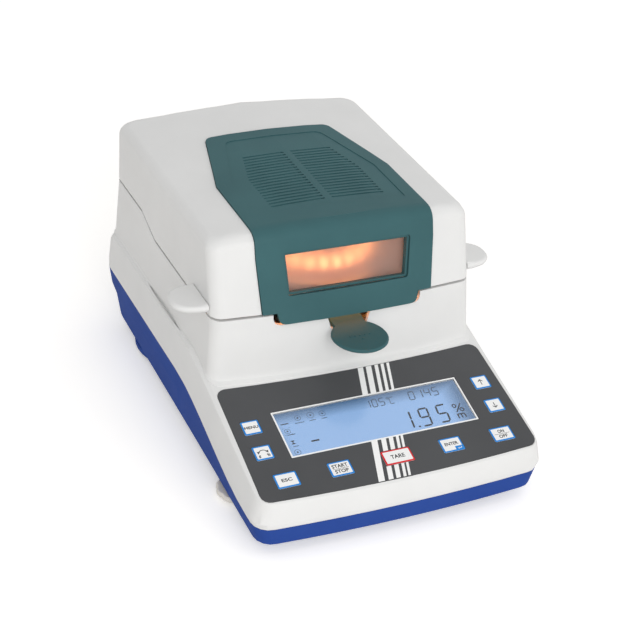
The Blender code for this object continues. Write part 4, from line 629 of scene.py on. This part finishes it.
def addGripDots(values):
    # Low domes: radius R cos(a) at height H sin(a), closed by a flat root under the disc's face
    skin = pointsOf(nodes["pan_lifter"].data)
    reach = skin[:, 1].min() + values["discReachMm"] * mm
    middle = np.array([0, reach, skin[skin[:, 1] < reach, 2].max()])
    rise = np.linspace(0, math.pi / 2, values["rings"])
    radius = np.concatenate([[0, 1], np.cos(rise)]) * values["radiusMm"] * mm
    height = np.concatenate([[-values["rootMm"]] * 2, values["heightMm"] * np.sin(rise)]) * mm
    turn = np.arange(values["sides"]) * 2 * math.pi / values["sides"]
    dome = np.stack(np.broadcast_arrays(radius[:, None] * np.cos(turn), radius[:, None] * np.sin(turn),
                                        height[:, None]), -1)
    across = np.array(values["acrossMm"])
    places = np.stack([across, -np.array(values["forwardMm"]), np.zeros(len(across))], 1) * mm
    points = dome + (places + middle)[:, None, None, :]
    quads = gridFaces(len(radius), values["sides"], False, True)
    faces = (quads + np.arange(len(places))[:, None, None] * dome[..., 0].size).reshape(-1, 4)
    addPiece("thumbDiscDots", points, faces.tolist(), greenAbs, "pan_lifter")


# Display: white edge line, lit face, seven-segment figures and small icons, in millimetres on the keypad
display = {
    "edgeMm": 1.3,
    "edgeGapMm": 0.1,
    "edgeCornersMm": (0.4, 0.3),
    "edgeRisesMm": (0.01, 0.05),
    "footMm": 0.02,
    "thickMm": 0.04,
    "slant": 0.12,
    "reading": {"text": "1.95", "x": 18.0, "s": -17.4, "width": 7.5, "height": 16.5,
                "pitch": 15.6, "bar": 1.5},
    "temperature": {"text": "105", "x": -3.6, "s": 9.6, "width": 3.9, "height": 7.2,
                    "pitch": 6.1, "bar": 0.7},
    "time": {"text": "0145", "x": 34.4, "s": 9.4, "width": 4.4, "height": 7.8,
             "pitch": 6.9, "bar": 0.8},
    "celsius": {"text": "C", "x": 17.4, "s": 9.6, "width": 3.6, "height": 6.2,
                "pitch": 5.5, "bar": 0.6},
    # Rings: x, s, outer and inner radius
    "degree": (16.6, 15.4, 1.0, 0.5),
    "percentRings": ((66.2, -4.4, 2.0, 1.05), (71.0, -9.0, 2.0, 1.05)),
    "percentBar": ((65.1, -10.8), (66.4, -10.8), (72.8, -2.8), (71.5, -2.8)),
    "minus": ((-58.2, -10.7), (-51.6, -10.7), (-51.6, -9.3), (-58.2, -9.3)),
    # The letter m: where its legs start, the share of full height that each has, and its arches
    "leg": ((0, 0), (1.1, 0), (1.1, 4.6), (0, 4.6)),
    "legsAt": ((64.6, -17.0), (67.6, -17.0), (70.6, -17.0)),
    "legHeights": (1, 0.68, 0.68),
    "archesAt": ((66.65, -14.1), (69.65, -14.1)),
    "archRadii": ((2.05, 1.85), (0.95, 0.75)),
    "archSteps": 9,
}
segmentEnds = {"a": ((0, 2), (1, 2)), "b": ((1, 2), (1, 1)), "c": ((1, 1), (1, 0)), "d": ((0, 0), (1, 0)),
               "e": ((0, 1), (0, 0)), "f": ((0, 2), (0, 1)), "g": ((0, 1), (1, 1))}
segmentsOf = {"0": "abcdef", "1": "bc", "4": "bcfg", "5": "acdfg", "9": "abcdfg", "C": "adef"}
# Shares of a bar's thickness: how far it stops short of the corner, how long its tips are, and the
# decimal point with its height; pointBack is its share of the gap between two cells
segmentShape = {
    "trim": 0.62,
    "tip": 0.5,
    "point": ((-0.8, 0), (-0.3, -0.5), (0.3, -0.5), (0.8, 0), (0.3, 0.5), (-0.3, 0.5)),
    "pointRise": 0.3,
    "pointBack": 0.42,
}


def segmentBars(text, x, s, width, height, pitch, bar):
    # Each figure is a set of bars with pointed ends, placed in its cell and leaned over.
    # The decimal point is a six-sided dot in the gap before its cell.
    bars = []
    cell = 0
    for letter in text:
        if letter == ".":
            back = (pitch - width) * segmentShape["pointBack"]
            dot = np.array(segmentShape["point"]) * bar
            bars.append(dot + (cell * pitch - back, segmentShape["pointRise"] * bar))
            continue
        for segment in segmentsOf[letter]:
            start, end = np.array(segmentEnds[segment]) * (width, height / 2)
            along = (end - start) / np.linalg.norm(end - start)
            side = np.array([-along[1], along[0]]) * bar / 2
            start = start + along * bar * segmentShape["trim"]
            end = end - along * bar * segmentShape["trim"]
            tip = along * bar * segmentShape["tip"]
            outline = [start - tip, start - side, end - side, end + tip, end + side, start + side]
            bars.append(np.array(outline) + (cell * pitch, 0))
        cell += 1
    bars = np.array(bars)
    bars[..., 0] += display["slant"] * bars[..., 1]
    return bars + (x, s)


def discOutline(x, s, radius, count=20):
    # Circle as count points, evenly apart
    turn = np.arange(count) * 2 * math.pi / count
    return np.stack([x + radius * np.cos(turn), s + radius * np.sin(turn)], 1)


def displayRises():
    # Foot and top of the segments, just over the display's face
    foot = keypad.read("lcd_module")[1][2] + display["footMm"] * mm
    return foot, foot + display["thickMm"] * mm


def displayPatches(name, outlines, ink):
    # Flat segments, their outlines in millimetres
    printedPatches(name, np.array(outlines) * mm, *displayRises(), ink, "lcd_module")


def displayRing(name, x, s, outer, inner, ink):
    # Band between two circles about x, s, in millimetres
    printedRing(name, discOutline(x, s, outer) * mm, discOutline(x, s, inner) * mm, *displayRises(), ink,
                "lcd_module")


def addDisplayEdge(values):
    # White line just inside the window's edge
    low, high = keypad.read("display_window")
    size = (high - low)[:2]
    outerCorner, innerCorner = np.array(values["edgeCornersMm"]) * mm
    printedRing("displayEdgeLine", roundedOutline(*(size - values["edgeGapMm"] * mm), outerCorner),
                roundedOutline(*(size - 2 * values["edgeMm"] * mm), innerCorner),
                *(np.array(values["edgeRisesMm"]) * mm), whiteInk, "display_window")


def displayFigures(values):
    # Reading in dark segments, temperature and time in paler ones, then the signs beside them
    for name, key, ink in (("displayReading", "reading", segmentInk),
                           ("displayTemperature", "temperature", faintSegmentInk),
                           ("displayTime", "time", faintSegmentInk),
                           ("displayCelsius", "celsius", faintSegmentInk)):
        displayPatches(name, segmentBars(**values[key]), ink)
    displayRing("displayDegree", *values["degree"], faintSegmentInk)
    displayPatches("displayMinus", [values["minus"]], segmentInk)
    for name, ring in zip(("displayPercentTop", "displayPercentLow"), values["percentRings"]):
        displayRing(name, *ring, segmentInk)
    displayPatches("displayPercentBar", [values["percentBar"]], segmentInk)
    leg = np.array(values["leg"])
    legs = [leg * (1, height) + at for at, height in zip(values["legsAt"], values["legHeights"])]
    arch = archOutline(*values["archRadii"], np.linspace(math.pi, 0, values["archSteps"]))
    displayPatches("displayUnitLegs", legs, segmentInk)
    displayPatches("displayUnitArches", [arch + at for at in values["archesAt"]], segmentInk)


# Small status signs at the left of the display: circles with a dot, a pan, an hourglass, a cornered frame
# and short lines under them
icons = {
    # Circles: x, s and radius
    "circles": ((-60.0, 13.6, 2.5), (-49.2, 14.0, 2.9), (-39.6, 13.4, 2.6), (-72.3, 3.2, 2.4),
                (-72.2, -17.2, 2.6)),
    "ringMm": 0.32,
    "dotMm": 0.75,
    "dotSides": 12,
    # Lines: x, s and width
    "lines": ((-60.0, 9.0, 7.6), (-49.2, 9.0, 5.0), (-39.6, 8.8, 4.4), (-70.6, -0.4, 6.6),
              (-71.2, -11.6, 4.2)),
    "lineHalfMm": 0.3,
    "frameAt": (-72.3, 3.2),
    "frameReachMm": (3.3, 3.2),
    "frameBar": ((0, 0), (1.3, 0), (1.3, 0.3), (0, 0.3)),
    "pan": ((-75.0, 9.8), (-69.0, 9.8), (-68.6, 10.7), (-75.4, 10.7)),
    "glassHalf": ((-1.8, 1.6), (-0.2, 0.0), (0.2, 0.0), (1.8, 1.6)),
    "glassHalvesAt": ((-72.1, -7.6), (-72.1, -7.8)),
}


def displayIcons(values):
    # The hourglass is one half over its own mirror; the frame is one bar turned into each of its corners
    for k, (x, s, radius) in enumerate(values["circles"]):
        displayRing("displayCircle_%d" % (k + 1), x, s, radius, radius - values["ringMm"], iconInk)
        displayPatches("displayDot_%d" % (k + 1), [discOutline(x, s, values["dotMm"], values["dotSides"])],
                       segmentInk)
    lines = [boxCorners * (width / 2, values["lineHalfMm"]) + (x, s) for x, s, width in values["lines"]]
    cornered = [values["frameBar"] * corner + values["frameAt"] - corner * values["frameReachMm"]
                for corner in boxCorners]
    displayPatches("displayIconLines", lines + cornered, iconInk)
    upper, lower = values["glassHalvesAt"]
    half = np.array(values["glassHalf"])
    displayPatches("displaySolidIcons", [values["pan"], half + upper, half * (1, -1) + lower], segmentInk)


# Backlight: even blue, with painted shade under the upper edge and at both ends, where the window's rim
# would shadow it
backlight = {
    "litHex": "#97bbe9",
    "paintedShadeHex": "#587598",
    "bodyHex": "#0a1524",
    "strength": 0.98,
    "topMm": (14.5, 4),
    "rightMm": (17, 3),
    "rightShare": 0.9,
    "leftMm": 6,
    "leftShare": 0.25,
}


def litDisplay(values):
    # Backlit liquid crystal with painted shade: the darkest of the three painted shadow gradients, each
    # rising in proportion towards its edge
    material, tree, shader, place = newMaterial("backlitDisplayPaintedShade")
    low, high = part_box("lcd_module")
    axes = addNode(tree, "ShaderNodeSeparateXYZ", {"Vector": place})
    topFrom, topTo = high[1] - np.array(values["topMm"]) * mm
    rightFrom, rightTo = high[0] - np.array(values["rightMm"]) * mm
    leftFrom = low[0] + values["leftMm"] * mm
    # Painted shade: darker towards the upper edge and both ends, standing in for the shadow of the window's
    # rim
    shade = levels(tree, axes.outputs["Y"], topFrom, topTo, 0.0, 1.0)
    for other in (levels(tree, axes.outputs["X"], rightFrom, rightTo, 0.0, values["rightShare"]),
                  levels(tree, axes.outputs["X"], leftFrom, low[0], 0.0, values["leftShare"])):
        shade = addNode(tree, "ShaderNodeMath", {0: shade, 1: other}, operation="MAXIMUM").outputs[0]
    blue = addNode(tree, "ShaderNodeMix", {"Factor": shade, 6: linear(values["litHex"]),
                                           7: linear(values["paintedShadeHex"])}, data_type="RGBA")
    setSockets(tree, shader, {
        "Emission Color": blue.outputs[2],
        "Emission Strength": values["strength"],
        "Base Color": linear(values["bodyHex"]),
        "Roughness": 0.4,
        "Specular IOR Level": 0.0,
    })
    return material


# Lamp: a quartz ring through which the coiled filament shows as brighter spots
lamp = {"spots": 27, "spotFrom": -0.2, "coolHex": "#ff9450", "hotHex": "#ffd08c", "bodyHex": "#e9c7a4",
        "dim": 1.9, "strength": 4.4}


def glowingQuartz(values):
    # Etched quartz round a coiled filament: the coil glows through as a row of soft bright spots.
    # Spots follow the sine of the angle round the ring times their number.
    material, tree, shader, place = newMaterial("glowingQuartz")
    low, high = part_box("halogen_lamp")
    middle = (low + high) / 2
    centred = addNode(tree, "ShaderNodeVectorMath", {0: place, 1: middle[:]}, operation="SUBTRACT")
    axes = addNode(tree, "ShaderNodeSeparateXYZ", {"Vector": centred.outputs[0]})
    angle = addNode(tree, "ShaderNodeMath", {0: axes.outputs["Y"], 1: axes.outputs["X"]},
                    operation="ARCTAN2")
    turns = addNode(tree, "ShaderNodeMath", {0: angle.outputs[0], 1: float(values["spots"])},
                    operation="MULTIPLY")
    wave = addNode(tree, "ShaderNodeMath", {0: turns.outputs[0]}, operation="SINE")
    spots = levels(tree, wave.outputs[0], values["spotFrom"], 1.0, 0.0, 1.0)
    setSockets(tree, shader, {
        "Emission Color": shades(tree, spots, values["coolHex"], values["hotHex"], 0.0, 1.0),
        "Emission Strength": levels(tree, spots, 0.0, 1.0, values["dim"], values["strength"]),
        "Base Color": linear(values["bodyHex"]),
        "Roughness": 0.35,
        "IOR": 1.46,
    })
    return material


# Shells that are rounded again here: piece, material and the radius of its edges in millimetres
shellLooks = {
    "hood_shell": ("hoodShellMoulding", whiteAbs, 0.7),
    "hood_insert": ("hoodInsertMoulding", greenAbs, 0.5),
    "main_housing": ("mainHousingMoulding", whiteAbs, 0.6),
    "base_tray": ("baseTrayMoulding", blueAbs, 0.5),
    "pan_lifter": ("panLifterMoulding", greenAbs, 0.4),
    "lift_tab_left": ("liftTabLeftMoulding", whiteAbs, 0.5),
    "lift_tab_right": ("liftTabRightMoulding", whiteAbs, 0.5),
    "window_frame": ("windowFrameMoulding", greenAbs, 0.3),
    "levelling_wheel_left": ("levellingWheelLeftMoulding", wheelNylon, 0.4),
    "levelling_wheel_right": ("levellingWheelRightMoulding", wheelNylon, 0.4),
    "sample_pan": ("samplePanStamping", panAluminium, 0.0),
}
# Nodes that keep the frame's own mesh, by material
plainLooks = (
    (foilFilm, ("keypad_foil",)),
    (lensAcrylic, ("display_window",)),
    (quartzPane, ("window_pane", "lamp_glass")),
    (vialAcrylic, ("bubble_level",)),
    (chamberSteel, ("chamber_deck", "chamber_well", "heat_shield", "hood_inner_cover", "glass_clamp_ring")),
    (reflectorSteel, ("reflector",)),
    (hingeSteel, ("hood_hinge_leaf_left", "hood_hinge_leaf_right", "hinge_bracket_left",
                  "hinge_bracket_right", "hinge_pin_left", "hinge_pin_right", "levelling_stud_left",
                  "levelling_stud_right", "temperature_probe", "serial_port")),
    (cellAluminium, ("draught_ring", "pan_support", "cell_plate", "load_cell")),
    (padRubber, ("foot_pad_left", "foot_pad_right", "rear_foot_left", "rear_foot_right")),
    (inletPolyamide, ("mains_inlet", "fuse_drawer")),
    (lampSteatite, ("lamp_holder_left", "lamp_holder_right")),
    (boardLaminate(board), ("keypad_board", "main_board", "power_supply")),
    (keyWhite, [n for n in nodes if n.startswith("key_")]),
    (litDisplay(backlight), ("lcd_module",)),
    (glowingQuartz(lamp), ("halogen_lamp",)),
)

for node, (name, material, roundMm) in shellLooks.items():
    # The housing keeps its own facets
    carriedOver(node, name, material, roundMm, merge=node != "main_housing")
for material, names in plainLooks:
    for node in names:
        nodes[node].data.materials.clear()
        nodes[node].data.materials.append(material)
print("mouldings and metal parts finished")

addDisplayEdge(display)
addStripes(stripes)
addKeyPrint(keyPrint)
addKeySigns(keySigns)
addReturnMark(returnMark)
displayFigures(display)
displayIcons(icons)
addGripDots(gripDots)
print("keypad printed")


# Stage and light. The sky is softer from the left and from behind, as a wall of light stands front right.
studio = {
    "floorHex": "#fbf9f6",
    "floorDarkHex": "#f9f7f4",
    "floorGlow": 0.36,
    "floorReach": 6.0,
    "floorMottleMm": 400,
    "skyHex": "#ffffff",
    "skyAxis": (0.75, -0.75, -0.2),
    "skyLow": 0.47,
    "skyHigh": 0.97,
    "keyPlace": (-0.45, -1.7, 0.95),
    "keyTarget": (0, 0, 0.1),
    "keySize": 0.9,
    "keyWatts": 11.0,
    "chamberWatts": 0.016,
    "chamberWideMm": 124,
    "chamberTallMm": 7,
    "chamberHex": "#ff9a4d",
    "chamberBehindMm": 10,
    "chamberRiseMm": 5,
    "chamberWay": (0, -0.01, -0.018),
}


def addAreaLight(name, place, target, wide, tall, watts, colour=(1, 1, 1)):
    # Rectangular lamp that looks at its target: tipped up from straight down, then turned about Z
    light = bpy.data.lights.new(name, "AREA")
    light.shape = "RECTANGLE"
    light.size = wide
    light.size_y = tall
    light.energy = watts
    light.color = colour[:3]
    holder = bpy.data.objects.new(name, light)
    bpy.context.scene.collection.objects.link(holder)
    holder.location = place
    x, y, z = np.array(target) - np.array(place)
    holder.rotation_euler = (math.atan2(math.hypot(x, y), -z), 0, math.atan2(y, x) - math.pi / 2)


def seenDirectly(tree):
    # 1 for rays from the camera or by way of metal and glass, so that they see the white ground
    seen = addNode(tree, "ShaderNodeLightPath").outputs
    either = addNode(tree, "ShaderNodeMath", {0: seen["Is Camera Ray"], 1: seen["Is Glossy Ray"]},
                     operation="MAXIMUM")
    return addNode(tree, "ShaderNodeMath", {0: either.outputs[0], 1: seen["Is Transmission Ray"]},
                   operation="MAXIMUM").outputs[0]


def addFloor(values):
    # Matt pale ground whose glow makes it white to the camera and leaves the shadow on it
    material, tree, shader, place = newMaterial("paleStudioFloor")
    mottle = noiseAt(tree, place, values["floorMottleMm"])
    setSockets(tree, shader, {
        "Base Color": shades(tree, mottle, values["floorDarkHex"], values["floorHex"]),
        "Roughness": 0.9,
        "Specular IOR Level": 0.0,
        "Emission Color": (1, 1, 1, 1),
        "Emission Strength": levels(tree, seenDirectly(tree), 0.0, 1.0, 0.0, values["floorGlow"]),
    })
    corners = np.hstack([boxCorners * values["floorReach"], np.zeros((4, 1))])
    mesh = bpy.data.meshes.new("studioFloor")
    mesh.from_pydata(corners.tolist(), [], [(0, 1, 2, 3)])
    mesh.materials.append(material)
    floor = bpy.data.objects.new("studioFloor", mesh)
    bpy.context.scene.collection.objects.link(floor)


def addSky(values):
    # Strength rises from skyLow to skyHigh as the ray turns to skyAxis, and is 1 where it is seen directly
    world = bpy.data.worlds.new("studioWorld")
    bpy.context.scene.world = world
    world.use_nodes = True
    tree = world.node_tree
    direction = addNode(tree, "ShaderNodeTexCoord").outputs["Generated"]
    toLight = addNode(tree, "ShaderNodeVectorMath", {0: direction, 1: values["skyAxis"]},
                      operation="DOT_PRODUCT")
    fill = levels(tree, toLight.outputs["Value"], -1.0, 1.0, values["skyLow"], values["skyHigh"])
    strength = addNode(tree, "ShaderNodeMix", {"Factor": seenDirectly(tree), "A": fill, "B": 1.0})
    setSockets(tree, tree.nodes["Background"], {"Color": linear(values["skyHex"]),
                                                "Strength": strength.outputs["Result"]})


def addLamps(values):
    # Key light in front, and warm lamplight behind the chamber's front wall, out through the gap
    # round the lifter's neck
    addAreaLight("keyLight", values["keyPlace"], values["keyTarget"], values["keySize"], values["keySize"],
                 values["keyWatts"])
    deckLow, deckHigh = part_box("chamber_deck")
    coverLow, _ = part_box("hood_inner_cover")
    place = np.array([0, deckLow[1] + values["chamberBehindMm"] * mm,
                      (deckHigh[2] + coverLow[2]) / 2 + values["chamberRiseMm"] * mm])
    addAreaLight("chamberLight", place, place + values["chamberWay"], values["chamberWideMm"] * mm,
                 values["chamberTallMm"] * mm, values["chamberWatts"], linear(values["chamberHex"]))


addFloor(studio)
addSky(studio)
addLamps(studio)
bpy.context.scene.view_settings.view_transform = "Standard"
print("stage lit")
